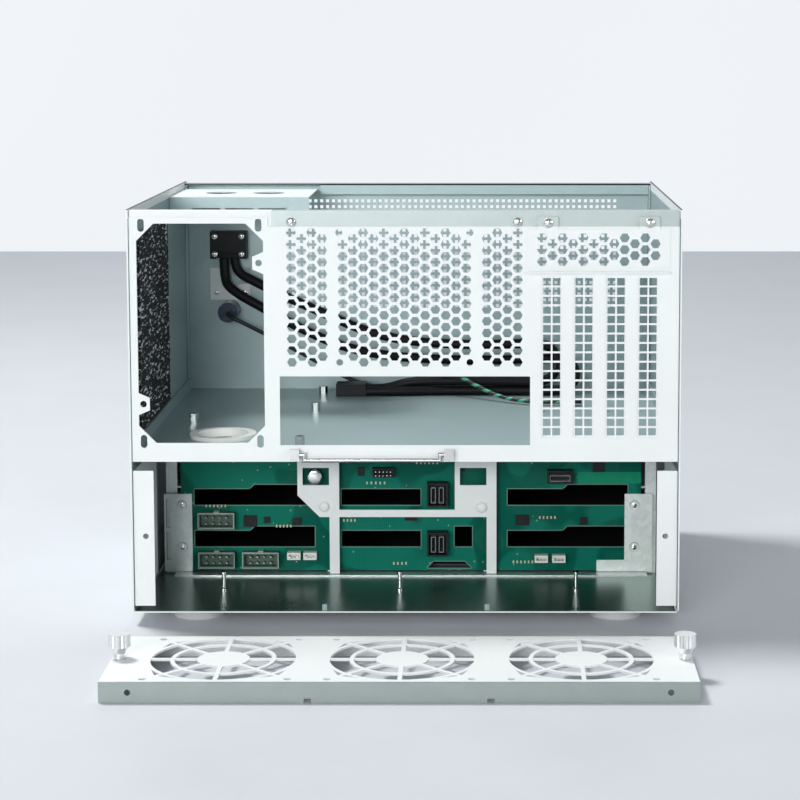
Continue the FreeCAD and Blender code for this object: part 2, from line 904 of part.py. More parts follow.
def drive_sockets():
    w, d, h = drive_socket
    solids = []
    for column in range(len(bay_columns)):
        for row in range(len(bay_rows)):
            x = column_x(column)
            z = row_z(row) + drive_socket_foot
            solids.append(box(x - w / 2, x + w / 2, backplane_front, backplane_front + d, z, z + h))
    return Part.makeCompound(solids)


def rear_socket(x, z, size):
    """A connector shell on the rear face: a block with an open mouth."""
    w, d, h = size
    wall = socket_wall
    block = box(x - w / 2, x + w / 2, backplane_y - d, backplane_y, z - h / 2, z + h / 2)
    mouth = box(x - w / 2 + wall, x + w / 2 - wall, backplane_y - d - 1, backplane_y - d / 3,
                z - h / 2 + wall, z + h / 2 - wall)
    return block.cut(mouth)


# Places of the rear connectors: the bay, then parts of a bay across its middle and rows up from the lowest
power_places = [(0, -0.239, 1.241), (0, -0.239, 0.297), (0, 0.041, 0.297)]
data_places = [(1, 0.170, 1.862), (1, 0.170, 0.683)]
side_places = [(2, -0.050, 2.276)]
pin_places = [(1, -0.174, 2.370)]
header_places = [
    (0, 0.252, 0.379), (0, 0.355, 0.379), (2, -0.168, 0.310), (2, -0.056, 0.310),
]


def placed_sockets(places, size):
    solids = []
    for column, across, up in places:
        x = column_x(column) + across * bay_pitch
        solids.append(rear_socket(x, row_floor + up * row_pitch, size))
    return solids


def power_sockets():
    return Part.makeCompound(placed_sockets(power_places, power_socket))


def data_sockets():
    tall = placed_sockets(data_places, data_socket)
    flat = placed_sockets(side_places, side_socket) + placed_sockets(pin_places, pin_header)
    return Part.makeCompound(tall + flat)


def fan_headers():
    return Part.makeCompound(placed_sockets(header_places, header_socket))


# Brace behind the backplane: two straps, a cross bar and two gussets in one sheet

def backplane_brace():
    left = column_x(0) + bay_pitch / 2 + brace_shift
    right = left + bay_pitch
    half = brace_strap / 2
    foot = cage_base_top + seat_gap
    top = tray_under - seat_gap
    bar_low = row_floor + len(bay_rows) * row_pitch / 2 - brace_bar
    bar_high = bar_low + brace_bar
    cut = brace_corner_cut
    y = brace_y
    far = left - brace_gusset_width
    near = right - brace_gusset_width
    rim = outline([
        V(left - half, y, foot), V(left + half, y, foot), V(left + half, y, bar_low),
        V(right - half, y, bar_low), V(right - half, y, foot), V(right + half, y, foot),
        V(right + half, y, top), V(near, y, top), V(near, y, bar_high), V(left + half, y, bar_high),
        V(left + half, y, top), V(far, y, top), V(far, y, bar_low + cut), V(far + cut, y, bar_low),
        V(left - half, y, bar_low),
    ])
    windows = []
    bosses = []
    for x in (left, right):
        mid = x - brace_gusset_width / 2
        z = bar_high + brace_window_rise
        w = brace_window_width / 2
        windows.append(rectangle_xz(mid - w, mid + w, z, z + brace_window_height, y))
        boss_x = x - brace_strap
        boss_z = bar_high + brace_boss_radius
        bosses.append(rod_y(brace_boss_radius, boss_x, y - rivet_height, backplane_y, boss_z))
    return joined([pierced(rim, windows, V(0, panel_sheet, 0))] + bosses)


# Galvanised brackets at the two ends of the backplane

def side_bracket_left():
    x0 = -cage_x - bracket_outset
    x1 = x0 + bracket_width
    y = backplane_y - inner_sheet
    z0 = cage_base_top + seat_gap
    z1 = z0 + bracket_height
    rim = rectangle_xz(x0, x1, z0, z1, y)
    slots = []
    for k in (0, 1):
        z = z1 - bracket_slot_drop - k * bracket_slot_pitch
        left = x0 + bracket_slot_inset
        slots.append(rectangle_xz(left, left + bracket_slot_width, z - bracket_slot_length, z, y))
    plate = pierced(rim, slots, V(0, inner_sheet, 0))
    x = x1 - bracket_rivet_inset
    heights = [z1 - bracket_rivet_drop - k * bracket_rivet_pitch for k in (0, 1)]
    rivets = [rod_y(rivet_radius, x, y - rivet_height, y, z) for z in heights]
    return joined([plate] + rivets)


def side_bracket_right():
    x1 = cage_x + flange_width / 3
    x0 = x1 - bracket_width
    y = backplane_y - inner_sheet
    z0 = cage_base_top + seat_gap
    z1 = z0 + bracket_height
    rim = outline([
        V(x0 - bracket_foot, y, z0), V(x1, y, z0), V(x1, y, z1), V(x0, y, z1),
        V(x0, y, z0 + bracket_foot_height), V(x0 - bracket_foot, y, z0 + bracket_foot_height),
    ])
    plate = pierced(rim, [], V(0, inner_sheet, 0))
    x = x0 + bracket_rivet_inset
    heights = [z1 - bracket_rivet_drop - k * bracket_rivet_pitch for k in (0, 1)]
    rivets = [rod_y(rivet_radius, x, y - rivet_height, y, z) for z in heights]
    return joined([plate] + rivets)


# Angle flanges that the fan panel screws to

thumb_x = panel_x - thumb_inset
thumb_z = (floor_top + rear_bottom) / 2


def panel_flange_right():
    x1 = wall_x - seat_gap
    z0 = floor_top + flange_foot_gap
    z1 = rear_bottom - flange_top_gap
    y = flange_y
    rim = rectangle_xz(cage_x, x1, z0, z1, y)
    hole = circle_xz(thumb_x, y, thumb_z, screw_hole_radius / 2)
    face = pierced(rim, [hole], V(0, panel_sheet, 0))
    leg = box(x1 - panel_sheet, x1, y, backplane_y - bracket_width / 2, z0, z1)
    return joined([face, leg])


# Drive trays and their pull levers

def drive_tray(column, row):
    """An open tray with side walls, and a bezel with a pocket for the lever."""
    x = column_x(column)
    z = row_z(row) + seat_gap
    half = (bay_pitch - inner_sheet) / 2 - tray_side_gap
    floor = box(x - half, x + half, tray_back, bezel_back, z, z + tray_wall)
    left = box(x - half, x - half + tray_wall, tray_back, bezel_back, z, z + tray_wall_height)
    right = box(x + half - tray_wall, x + half, tray_back, bezel_back, z, z + tray_wall_height)
    face = (bay_pitch - bezel_gap) / 2
    bezel = box(x - face, x + face, bezel_back, case_depth, z, z + row_pitch - bezel_gap - seat_gap)
    pocket = box(x - lever_half() - lever_end_gap, x + lever_half() + lever_finger_room,
                 lever_y() - lever_end_gap, case_depth + 1, lever_z(row) - lever_side_gap,
                 lever_z(row) + lever_height + lever_side_gap)
    return joined([floor, left, right, bezel]).cut(pocket)


def lever_half():
    return bay_pitch / 2 - lever_finger_room - lever_end_gap - 2


def lever_y():
    """Depth of the lever's pivot, half its thickness behind the bezel's face."""
    return case_depth - lever_thick / 2


def lever_z(row):
    return row_z(row) + (row_pitch - lever_height) / 2


def lever_pivot_x(column):
    return column_x(column) - lever_half() + lever_thick / 2


def tray_lever(column, row):
    """A flat bar with a round pivot end, and a sloped back at its finger end."""
    x0 = lever_pivot_x(column)
    x1 = column_x(column) + lever_half()
    y = lever_y()
    r = lever_thick / 2
    z = lever_z(row)
    edges = [
        Part.Arc(V(x0, y + r, z), V(x0 - r, y, z), V(x0, y - r, z)).toShape(),
        Part.makeLine(V(x0, y - r, z), V(x1 - lever_thick, y - r, z)),
        Part.makeLine(V(x1 - lever_thick, y - r, z), V(x1, y + r / 3, z)),
        Part.makeLine(V(x1, y + r / 3, z), V(x1, y + r, z)),
        Part.makeLine(V(x1, y + r, z), V(x0, y + r, z)),
    ]
    return Part.Face(Part.Wire(edges)).extrude(V(0, 0, lever_height))


# Fan panel: a shallow pan with three ring grilles

panel_top = panel_flange
panel_mid_y = (panel_near + panel_far) / 2


def ring_sector(cx, cy, z, inner, outer, start):
    """One opening of a grille, between two rings and two straight spokes."""
    def at(radius, angle):
        return V(cx + radius * math.cos(angle), cy + radius * math.sin(angle), z)

    step = 2 * math.pi / fan_spokes
    edge_in = math.asin(fan_spoke_width / 2 / inner)
    edge_out = math.asin(fan_spoke_width / 2 / outer)
    a0, a1 = start + edge_out, start + step - edge_out
    b0, b1 = start + edge_in, start + step - edge_in
    mid = start + step / 2
    return Part.Wire([
        Part.Arc(at(outer, a0), at(outer, mid), at(outer, a1)).toShape(),
        Part.makeLine(at(outer, a1), at(inner, b1)),
        Part.Arc(at(inner, b1), at(inner, mid), at(inner, b0)).toShape(),
        Part.makeLine(at(inner, b0), at(outer, a0)),
    ])


def corner_sector(cx, cy, z, diagonal, side):
    """A short opening beside a diagonal, between the outer ring and the fan's corner."""
    def at(radius, angle):
        return V(cx + radius * math.cos(angle), cy + radius * math.sin(angle), z)

    def near(radius):
        return diagonal + side * math.asin(fan_spoke_width / 2 / radius)

    far = diagonal + side * math.radians(fan_corner_turn)
    inner, outer = fan_corner_inner, fan_corner_outer
    mid_in = (near(inner) + far) / 2
    return Part.Wire([
        Part.Arc(at(inner, near(inner)), at(inner, mid_in), at(inner, far)).toShape(),
        Part.makeLine(at(inner, far), at(outer, near(outer))),
        Part.makeLine(at(outer, near(outer)), at(inner, near(inner))),
    ])


def fan_mid_x(k):
    return (k - (fan_count - 1) / 2) * fan_pitch


def fan_panel():
    z = panel_top - panel_sheet
    rim = rectangle_xy(-panel_x, panel_x, panel_near, panel_far, z)
    holes = []
    for k in range(fan_count):
        x = fan_mid_x(k)
        for spoke in range(fan_spokes):
            start = spoke * 2 * math.pi / fan_spokes
            holes.append(ring_sector(x, panel_mid_y, z, fan_hub_radius, fan_ring_radius, start))
            outer_from = fan_ring_radius + fan_ring_band
            holes.append(ring_sector(x, panel_mid_y, z, outer_from, fan_vent_radius, start))
        for corner in range(4):
            diagonal = math.pi / 4 + corner * math.pi / 2
            holes += [corner_sector(x, panel_mid_y, z, diagonal, side) for side in (-1, 1)]
            reach = fan_span / math.sqrt(2)
            hole_x = x + reach * math.cos(diagonal)
            hole_y = panel_mid_y + reach * math.sin(diagonal)
            holes.append(circle_xy(hole_x, hole_y, z, fan_hole_radius))
    for side in (-1, 1):
        holes.append(circle_xy(side * thumb_x, panel_mid_y, z, screw_hole_radius / 2 + running_gap))
    sheet = pierced(rim, holes, V(0, 0, panel_sheet))
    t = panel_sheet
    folds = [
        box(-panel_x, panel_x, panel_far - t, panel_far, 0, panel_top),
        box(-panel_x, -panel_x + t, panel_near, panel_far, 0, panel_top),
        box(panel_x - t, panel_x, panel_near, panel_far, 0, panel_top),
    ]
    near = box(-panel_x, panel_x, panel_near, panel_near + t, 0, panel_top)
    notches = []
    for side in (-1, 1):
        x = side * panel_notch_span / 2
        w = panel_notch_width / 2
        notches.append(box(x - w, x + w, panel_near - 1, panel_near + t + 1, -1, panel_notch_height))
        hole_x = side * (panel_x - panel_hole_inset)
        notches.append(rod_y(panel_hole_radius, hole_x, panel_near - 1, panel_near + t + 1, panel_top / 2))
    panel = joined([sheet, near.cut(notches)] + folds)
    panel.translate(V(panel_shift, 0, 0))
    return panel


def thumbscrew(side):
    """A fluted head that narrows to a plain neck, with its tip through the panel."""
    x = side * thumb_x + panel_shift
    y = panel_mid_y
    neck_top = panel_top + thumb_neck_height
    cup_top = neck_top + thumb_cup_height
    points = []
    for k in range(2 * thumb_flutes):
        a = math.pi * k / thumb_flutes
        r = thumb_head_radius - (thumb_flute_depth if k % 2 else 0)
        points.append(V(x + r * math.cos(a), y + r * math.sin(a), cup_top))
    head = Part.Face(outline(points)).extrude(V(0, 0, thumb_head_height))
    rim = thumb_head_radius - thumb_flute_depth
    cup = Part.makeCone(screw_hole_radius, rim, thumb_cup_height, V(x, y, neck_top), V(0, 0, 1))
    neck = rod_z(screw_hole_radius, x, y, panel_top + seat_gap, neck_top)
    tip = rod_z(screw_hole_radius / 2, x, y, panel_top - thumb_tip_length, panel_top + seat_gap)
    return joined([head, cup, neck, tip])


# Pull bail and its two lugs on the rear panel

bail_z = rear_bottom + bail_rise
bail_y = rear_face - lug_reach / 2 + bail_wire_radius / 4


def bail_end_x(side):
    return bail_shift + side * bail_length / 2


def bail_lugs():
    solids = []
    for side in (-1, 1):
        x = bail_end_x(side)
        z = bail_z - lug_height / 2
        block = box(x - lug_width / 2, x + lug_width / 2, rear_face - lug_reach, rear_face, z, z + lug_height)
        bore = rod_x(bail_wire_radius + running_gap, x - lug_width, x + lug_width, bail_y, bail_z)
        solids.append(block.cut(bore))
    return Part.makeCompound(solids)


def bail_handle():
    """A bent wire: pivot ends through the lugs, short arms and a cross bar."""
    arm = bail_length / 2 - lug_width / 2 - 2 * bail_wire_radius
    low = bail_z - bail_drop
    left = bail_shift - arm
    right = bail_shift + arm
    path = Part.makePolygon([
        V(bail_end_x(-1) - lug_width / 2, bail_y, bail_z), V(left, bail_y, bail_z), V(left, bail_y, low),
        V(right, bail_y, low), V(right, bail_y, bail_z), V(bail_end_x(1) + lug_width / 2, bail_y, bail_z),
    ])
    section = Part.Wire(Part.makeCircle(bail_wire_radius, path.Vertexes[0].Point, V(1, 0, 0)))
    mitred = 1
    return path.makePipeShell([section], True, False, mitred)


# Cords inside the case: straight runs joined by tangent arcs as large as the runs allow

port_exit_z = port_z - port_height / 2
port_exit_y = front_inner - port_depth / 2
button_back = case_depth + button_stand - button_length - button_travel_room - button_body_length
plug_level = tray_top + 3.6
lead_level = tray_top + 2.6

upper_cable_route = [
    (-137.5, port_exit_y, port_exit_z), (-137.5, port_exit_y, 199.8), (-120.0, 258.5, 191.5),
    (-102.0, 258.0, 182.5), (-72.0, 259.5, 169.0), (-40.0, 261.0, 154.5), (-8.0, 262.0, 147.0),
    (30.0, 262.0, 144.5), (62.0, 262.0, 143.6), (98.0, 262.0, 143.6), (98.0, 238.0, 120.9),
    (60.0, 237.2, 120.9), (14.0, 238.0, 120.9), (-8.0, 240.0, 119.5), (-24.0, 243.5, plug_level),
    (-38.0, 243.5, plug_level),
]
lower_cable_route = [
    (-145.5, port_exit_y, port_exit_z), (-145.5, port_exit_y, 195.5), (-141.0, 256.5, 187.0),
    (-112.0, 251.0, 171.5), (-84.0, 249.5, 156.5), (-58.0, 250.5, 145.0), (-30.0, 257.0, 137.5),
    (0.0, 262.0, 134.0), (40.0, 262.0, 132.4), (76.0, 262.0, 133.2), (112.0, 262.0, 133.0),
    (112.0, 238.0, plug_level), (74.0, 237.2, plug_level), (20.0, 238.0, plug_level),
    (-14.0, 233.5, plug_level), (-38.0, 233.5, plug_level),
]
button_lead_route = [
    (button_x, button_back, button_z), (button_x, 237.0, button_z), (-128.0, 236.5, 164.0),
    (-104.0, 244.0, 150.0), (-74.0, 250.0, 132.5), (-48.0, 252.5, 117.5), (-26.0, 253.0, lead_level),
    (-8.0, 251.0, 114.0), (8.0, 243.5, 130.0), (22.0, 234.0, 130.0), (42.0, 222.0, 120.5),
    (62.0, 206.0, 113.2), (84.0, 191.0, lead_level), (106.0, 191.0, lead_level),
]
run_share = 0.45
end_run_share = 0.9


def cord(route, radius, name):
    """A round tube along the route, with an arc at each inner point."""
    points = [V(*p) for p in route]
    edges = []
    start = points[0]
    radii = []
    for before, point, after in zip(points, points[1:], points[2:]):
        back = (before - point)
        ahead = (after - point)
        back_share = end_run_share if before is points[0] else run_share
        cut = min(back_share * back.Length, run_share * ahead.Length)
        turn = math.pi - back.getAngle(ahead)
        radii.append(cut / math.tan(turn / 2))
        back.normalize()
        ahead.normalize()
        first = point + back * cut
        last = point + ahead * cut
        inward = (back + ahead).normalize()
        centre = point + inward * (math.hypot(cut, radii[-1]))
        middle = centre - inward * radii[-1]
        edges.append(Part.LineSegment(start, first).toShape())
        edges.append(Part.Arc(first, middle, last).toShape())
        start = last
    edges.append(Part.LineSegment(start, points[-1]).toShape())
    path = Part.Wire(edges)
    section = Part.Wire(Part.makeCircle(radius, points[0], points[1] - points[0]))
    tube = path.makePipeShell([section], True, False)
    share = tube.Volume / (math.pi * radius ** 2 * path.Length)
    bends = [round(r, 1) for r in radii]
    print(name, "length", round(path.Length, 1), "radii", bends, "volume", round(share, 4))
    return tube


def plug_at(end, size):
    x, y, z = end
    length, width, height = size
    return box(x, x + length, y - width / 2, y + width / 2, z - height / 2 + 1, z + height / 2 + 1)


def port_plug():
    x, y, z = upper_cable_route[-1]
    other = lower_cable_route[-1][1]
    length = port_plug_size[0]
    return plug_at((x - length, (y + other) / 2, z), port_plug_size)


def button_plug():
    return plug_at(button_lead_route[-1], button_plug_size)


# Write every piece

save("outer_shell", outer_shell())
save("rear_panel", rear_panel())
for number in range(slot_count):
    save("slot_cover_" + str(number + 1), slot_cover(number))
save("slot_retainer", slot_retainer())
save("retainer_screws", retainer_screws())
save("board_tray", board_tray())
save("cable_grommet", cable_grommet())
save("standoffs", standoffs())
save("front_panel", front_panel())
save("port_module", port_module())
save("port_bracket", port_bracket())
save("button_body", button_body())
save("power_button", power_button())
save("drive_shelf", drive_shelf())
save("dust_filter", dust_filter())
save("feet", feet())
save("drive_cage", drive_cage())
save("backplane", backplane())
save("drive_sockets", drive_sockets())
save("power_sockets", power_sockets())
save("data_sockets", data_sockets())
save("fan_headers", fan_headers())
save("backplane_brace", backplane_brace())
save("side_bracket_left", side_bracket_left())
save("side_bracket_right", side_bracket_right())
save("panel_flange_right", panel_flange_right())
save("panel_flange_left", mirrored(panel_flange_right()))
for c, column_name in enumerate(bay_columns):
    for r, row_name in enumerate(bay_rows):
        save("drive_tray_" + column_name + "_" + row_name, drive_tray(c, r))
        save("tray_lever_" + column_name + "_" + row_name, tray_lever(c, r))
save("fan_panel", fan_panel())
save("thumbscrew_left", thumbscrew(-1))
save("thumbscrew_right", thumbscrew(1))
save("bail_lugs", bail_lugs())
save("bail_handle", bail_handle())
save("port_cable_upper", cord(upper_cable_route, port_cable_radius, "upper cable"))
save("port_cable_lower", cord(lower_cable_route, port_cable_radius, "lower cable"))
save("port_plug", port_plug())
save("button_lead", cord(button_lead_route, button_lead_radius, "button lead"))
save("button_plug", button_plug())
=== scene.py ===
"""Looks of an open storage server case: finishes, small pieces, cords and a plain studio round its parts."""

import math

import bmesh
import bpy
import numpy as np
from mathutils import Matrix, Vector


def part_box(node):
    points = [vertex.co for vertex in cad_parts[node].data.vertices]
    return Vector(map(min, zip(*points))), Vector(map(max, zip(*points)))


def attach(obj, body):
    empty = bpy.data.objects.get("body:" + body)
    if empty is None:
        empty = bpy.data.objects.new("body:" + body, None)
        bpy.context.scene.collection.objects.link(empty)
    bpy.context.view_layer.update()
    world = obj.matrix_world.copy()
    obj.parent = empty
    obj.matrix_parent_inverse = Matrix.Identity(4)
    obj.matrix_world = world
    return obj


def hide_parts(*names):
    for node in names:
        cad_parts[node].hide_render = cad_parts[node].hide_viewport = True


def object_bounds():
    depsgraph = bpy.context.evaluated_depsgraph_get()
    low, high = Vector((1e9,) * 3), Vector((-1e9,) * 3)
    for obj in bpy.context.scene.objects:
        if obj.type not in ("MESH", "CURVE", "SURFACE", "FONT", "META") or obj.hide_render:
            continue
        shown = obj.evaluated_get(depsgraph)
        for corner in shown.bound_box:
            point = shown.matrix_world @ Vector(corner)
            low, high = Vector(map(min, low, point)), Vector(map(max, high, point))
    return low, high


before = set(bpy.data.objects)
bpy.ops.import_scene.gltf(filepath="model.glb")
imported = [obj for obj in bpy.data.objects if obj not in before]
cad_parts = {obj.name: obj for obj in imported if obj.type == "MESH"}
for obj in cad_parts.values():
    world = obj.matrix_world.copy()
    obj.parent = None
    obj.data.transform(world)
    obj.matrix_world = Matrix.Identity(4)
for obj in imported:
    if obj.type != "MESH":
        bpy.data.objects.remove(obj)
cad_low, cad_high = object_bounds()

bl_info = {
    "name": "Storage Server Case Looks",
    "version": (1, 0, 0),
    "blender": (4, 5, 0),
    "location": "3D View > Sidebar > Server Case",
    "description": "Finishes, small pieces, cords and studio for an open storage server case",
    "category": "Object",
}

BODY = "case"
BAYS = [f"{column}_{row}" for column in ("left", "middle", "right") for row in ("low", "centre", "top")]
BOARD_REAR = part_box("backplane")[0][1]
REAR_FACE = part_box("rear_panel")[0][1]
FLOOR_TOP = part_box("drive_cage")[0][2]
REARWARDS = (0.0, -1.0, 0.0)

# Thickness of the folded sheets, and how far a finish reaches past the face that it starts at, in metres
SHEET = 0.0012
SKIN = 0.0003

# Height of the bare metal inside the shell, and foot and left end of the rear panel's bare band, in metres
INNER_HEIGHT = 0.252
BAND_FOOT = 0.2563
BAND_LEFT = -0.084

# Field of air holes in the front panel, across and up, in metres
FIELD_ACROSS = (-0.100, 0.150)
FIELD_UP = (0.172, 0.252)

# Middles of the sockets on the rear face of the backplane, across and up, in metres
POWER_SOCKETS = [(-0.13255, 0.04715), (-0.13255, 0.01985), (-0.10255, 0.01985)]
UPRIGHT_SOCKETS = [(0.01815, 0.06515), (0.01815, 0.03105)]
FLAT_SOCKET = (0.1016, 0.0772)
PIN_HEADER = (-0.0186, 0.0799)
FAN_HEADERS = [(-0.080, 0.0222), (-0.069, 0.0222), (0.089, 0.0202), (0.101, 0.0202)]

# Routes of the cords, in metres
UPPER_CABLE = [
    (-0.1375, 0.20925, 0.2098), (-0.1375, 0.20925, 0.1998), (-0.120, 0.20525, 0.1915),
    (-0.102, 0.20475, 0.1825), (-0.072, 0.20625, 0.169), (-0.040, 0.20775, 0.1545),
    (-0.008, 0.20875, 0.147), (0.030, 0.20875, 0.1445), (0.062, 0.20875, 0.1446),
    (0.104, 0.20975, 0.1462), (0.104, 0.18375, 0.1192), (0.060, 0.18395, 0.1209),
    (0.014, 0.18475, 0.1209), (-0.008, 0.18675, 0.1195), (-0.024, 0.19025, 0.1136),
    (-0.038, 0.19025, 0.1136),
]
LOWER_CABLE = [
    (-0.1455, 0.20925, 0.2098), (-0.1455, 0.20925, 0.1955), (-0.141, 0.20325, 0.187),
    (-0.112, 0.19775, 0.1715), (-0.084, 0.19625, 0.1565), (-0.058, 0.19725, 0.145),
    (-0.030, 0.20375, 0.1375), (0.0, 0.20875, 0.134), (0.040, 0.20875, 0.1324),
    (0.076, 0.20875, 0.1332), (0.118, 0.20975, 0.1345), (0.118, 0.18175, 0.1136),
    (0.074, 0.18395, 0.1136), (0.020, 0.18475, 0.1136), (-0.014, 0.18025, 0.1136),
    (-0.038, 0.18025, 0.1136),
]
BUTTON_LEAD = [
    (-0.14157, 0.19525, 0.1703), (-0.14157, 0.18375, 0.1703), (-0.128, 0.18325, 0.164),
    (-0.104, 0.19075, 0.150), (-0.074, 0.19675, 0.1325), (-0.048, 0.19925, 0.1175),
    (-0.026, 0.19975, 0.1126), (-0.008, 0.19775, 0.114), (0.008, 0.19025, 0.130),
    (0.022, 0.18075, 0.130), (0.042, 0.16875, 0.1205), (0.062, 0.15275, 0.1132),
    (0.084, 0.13775, 0.1126), (0.106, 0.13775, 0.1126),
]


def operation(kind):
    """A method that adds one Math node on a value and another."""
    return lambda self, other: self.math(kind, other)


class Value:
    """A shader socket whose operators add Math nodes."""

    def __init__(self, finish, socket):
        self.finish = finish
        self.socket = socket

    def math(self, kind, *others):
        return self.finish.maths(kind, self, *others)

    def __rsub__(self, other):
        return self.finish.maths("SUBTRACT", other, self)

    def __abs__(self):
        return self.math("ABSOLUTE")

    __add__ = __radd__ = operation("ADD")
    __sub__ = operation("SUBTRACT")
    __mul__ = __rmul__ = operation("MULTIPLY")
    __lt__ = operation("LESS_THAN")
    __gt__ = operation("GREATER_THAN")
    __or__ = operation("MAXIMUM")


class Finish:
    """One material: its node tree, the method that adds any node, and short forms of the common ones."""

    def __init__(self, name):
        self.material = bpy.data.materials.new(name + "_finish")
        self.material.use_nodes = True
        self.tree = self.material.node_tree
        self.tree.nodes.clear()
        self.at = self.node("ShaderNodeTexCoord", output="Object")

    def node(self, kind, settings=None, inputs=None, output=0):
        """Adds a node: settings and ramp stops first, then values or links of its sockets."""
        made = self.tree.nodes.new(kind)
        for name, value in (settings or {}).items():
            if name == "stops":
                self.fill_ramp(made.color_ramp, value)
            else:
                setattr(made, name, value)
        for name, value in (inputs or {}).items():
            if isinstance(value, Value):
                self.tree.links.new(value.socket, made.inputs[name])
            else:
                made.inputs[name].default_value = value
        return Value(self, made.outputs[output])

    @staticmethod
    def fill_ramp(ramp, stops):
        while len(ramp.elements) < len(stops):
            ramp.elements.new(1.0)
        for element, (place, colour) in zip(ramp.elements, stops):
            element.position = place
            element.color = colour

    def maths(self, kind, *terms):
        return self.node("ShaderNodeMath", {"operation": kind}, dict(enumerate(terms)))

    def split(self, vector):
        """The three parts of a vector, each as a value."""
        first = self.node("ShaderNodeSeparateXYZ", None, {"Vector": vector})
        return [Value(self, socket) for socket in first.socket.node.outputs]

    def stretched(self, scale):
        """Object coordinates on which a pattern is drawn out along an axis of small scale."""
        return self.node("ShaderNodeMapping", None, {"Vector": self.at, "Scale": scale})

    def noise(self, size, detail=2.0, roughness=0.5, at=None):
        """Soft noise whose features are about as large as size, in metres."""
        inputs = {"Vector": at or self.at, "Scale": 1.0 / size, "Detail": detail, "Roughness": roughness}
        return self.node("ShaderNodeTexNoise", None, inputs, "Fac")

    def cells(self, size, output="Distance"):
        """Random cells about as large as size, in metres."""
        return self.node("ShaderNodeTexVoronoi", None, {"Vector": self.at, "Scale": 1.0 / size}, output)

    def mix(self, share, first, second):
        """A colour between two others."""
        return self.node("ShaderNodeMix", {"data_type": "RGBA"}, {0: share, 6: first, 7: second}, 2)

    def shades(self, share, colour, dark, light):
        """A colour from its darker to its lighter shade."""
        return self.mix(share, rgb(colour, dark), rgb(colour, light))

    def ramp(self, value, stops):
        """A grey value read from stops of place and level."""
        stops = [(place, (level, level, level, 1.0)) for place, level in stops]
        return self.node("ShaderNodeValToRGB", {"stops": stops}, {"Fac": value})

    def bump(self, height, distance, strength):
        """A normal that follows height, over a distance in metres."""
        inputs = {"Height": height, "Distance": distance, "Strength": strength}
        return self.node("ShaderNodeBump", None, inputs)

    def surface(self, **sockets):
        """Ends the tree in one Principled shader; underscores stand for spaces in socket names."""
        inputs = {name.replace("_", " "): value for name, value in sockets.items()}
        return self.end_in(self.node("ShaderNodeBsdfPrincipled", None, inputs))

    def end_in(self, shader):
        out = self.tree.nodes.new("ShaderNodeOutputMaterial")
        self.tree.links.new(shader.socket, out.inputs["Surface"])
        return self.material


# A near-black colour laid on the top edges of the sheets.
NEAR_BLACK_EDGE = (0.03, 0.045, 0.04, 1.0)


def rgb(colour, level=1.0):
    return (colour[0] * level, colour[1] * level, colour[2] * level, 1.0)


def coat_layers(f, colour):
    """Layers of powder coat: its faintly clouded colour, its roughness and its fine orange peel."""
    cloud = f.noise(0.06, 3.0)
    peel = f.noise(0.0011, 2.0, 0.6)
    return f.shades(cloud, colour, 0.955, 1.03), 0.36 + 0.14 * cloud + 0.06 * peel, peel


def powder_coat(name, colour):
    """Baked powder coat all over."""
    f = Finish(name)
    base, rough, peel = coat_layers(f, colour)
    return f.surface(Base_Color=base, Roughness=rough, Normal=f.bump(peel, 0.00006, 0.45))


def part_coated(name, coat, metal, bare, rim=None):
    """Powder coat that leaves satin metal where bare is one, and a near-black edge colour where rim is one.

    Both are worked out from the coordinates.
    """
    f = Finish(name)
    place = f.split(f.at)
    coated, rough, peel = coat_layers(f, coat)
    share = bare(*place)
    base = f.mix(share, coated, f.shades(f.noise(0.012, 4.0, 0.6), metal, 0.92, 1.07))
    if rim:
        base = f.mix(rim(*place), base, NEAR_BLACK_EDGE)
    bump = f.bump(peel, 0.00006, 0.45)
    return f.surface(Base_Color=base, Metallic=0.45 * share, Roughness=rough - 0.05 * share, Normal=bump)


def shell_sheet(name, coat, metal, zinc, inner_wall, floor, top):
    """The outer shell: powder coat outside, satin metal with painted shade on its inner walls, and glossy
    zinc on its inner floor, darkened and tinted green as painted shade and a painted reflection of the board.

    Its top edge is laid with a near-black colour.
    """
    f = Finish(name)
    across, _, up = f.split(f.at)
    coated, rough, peel = coat_layers(f, coat)
    inside = (abs(across) < inner_wall) * (up > floor - SKIN) * (up < floor + INNER_HEIGHT)
    ground = inside * (up < floor + SKIN)
    base = f.mix(inside, coated, rgb(metal))
    # The floor colour given as zinc is darkened and tinted green as painted shade and a painted reflection of
    # the board.
    base = f.mix(ground, base, f.shades(f.noise(0.03, 3.0), zinc, 0.85, 1.15))
    base = f.mix(up > top - SKIN, base, NEAR_BLACK_EDGE)
    rough = rough - 0.06 * inside - 0.10 * ground
    shine = 0.45 * inside + 0.5 * ground
    return f.surface(Base_Color=base, Metallic=shine, Roughness=rough, Normal=f.bump(peel, 0.00004, 0.35))


def satin_sheet(name, colour):
    """Satin metal sheet: faint rolling clouds along its length and a fine grain."""
    f = Finish(name)
    rolled = f.noise(0.01, 4.0, 0.6, f.stretched((0.25, 1.0, 1.0)))
    fine = f.noise(0.0008)
    base = f.shades(rolled, colour, 0.9, 1.09)
    rough = 0.34 + 0.12 * rolled + 0.05 * fine
    return f.surface(Base_Color=base, Metallic=0.45, Roughness=rough, Normal=f.bump(fine, 0.00003, 0.3))


def galvanised(name, colour):
    """Zinc-coated sheet: small flat spangles of slightly differing grey, with fine rolling lines."""
    f = Finish(name)
    tone = f.node("ShaderNodeSeparateColor", None, {"Color": f.cells(0.0032, "Color")})
    fine = f.noise(0.0007, 3.0)
    base = f.shades(tone, colour, 0.93, 1.05)
    rough = 0.32 + 0.08 * tone + 0.08 * fine
    return f.surface(Base_Color=base, Metallic=0.8, Roughness=rough, Normal=f.bump(fine, 0.00004, 0.35))


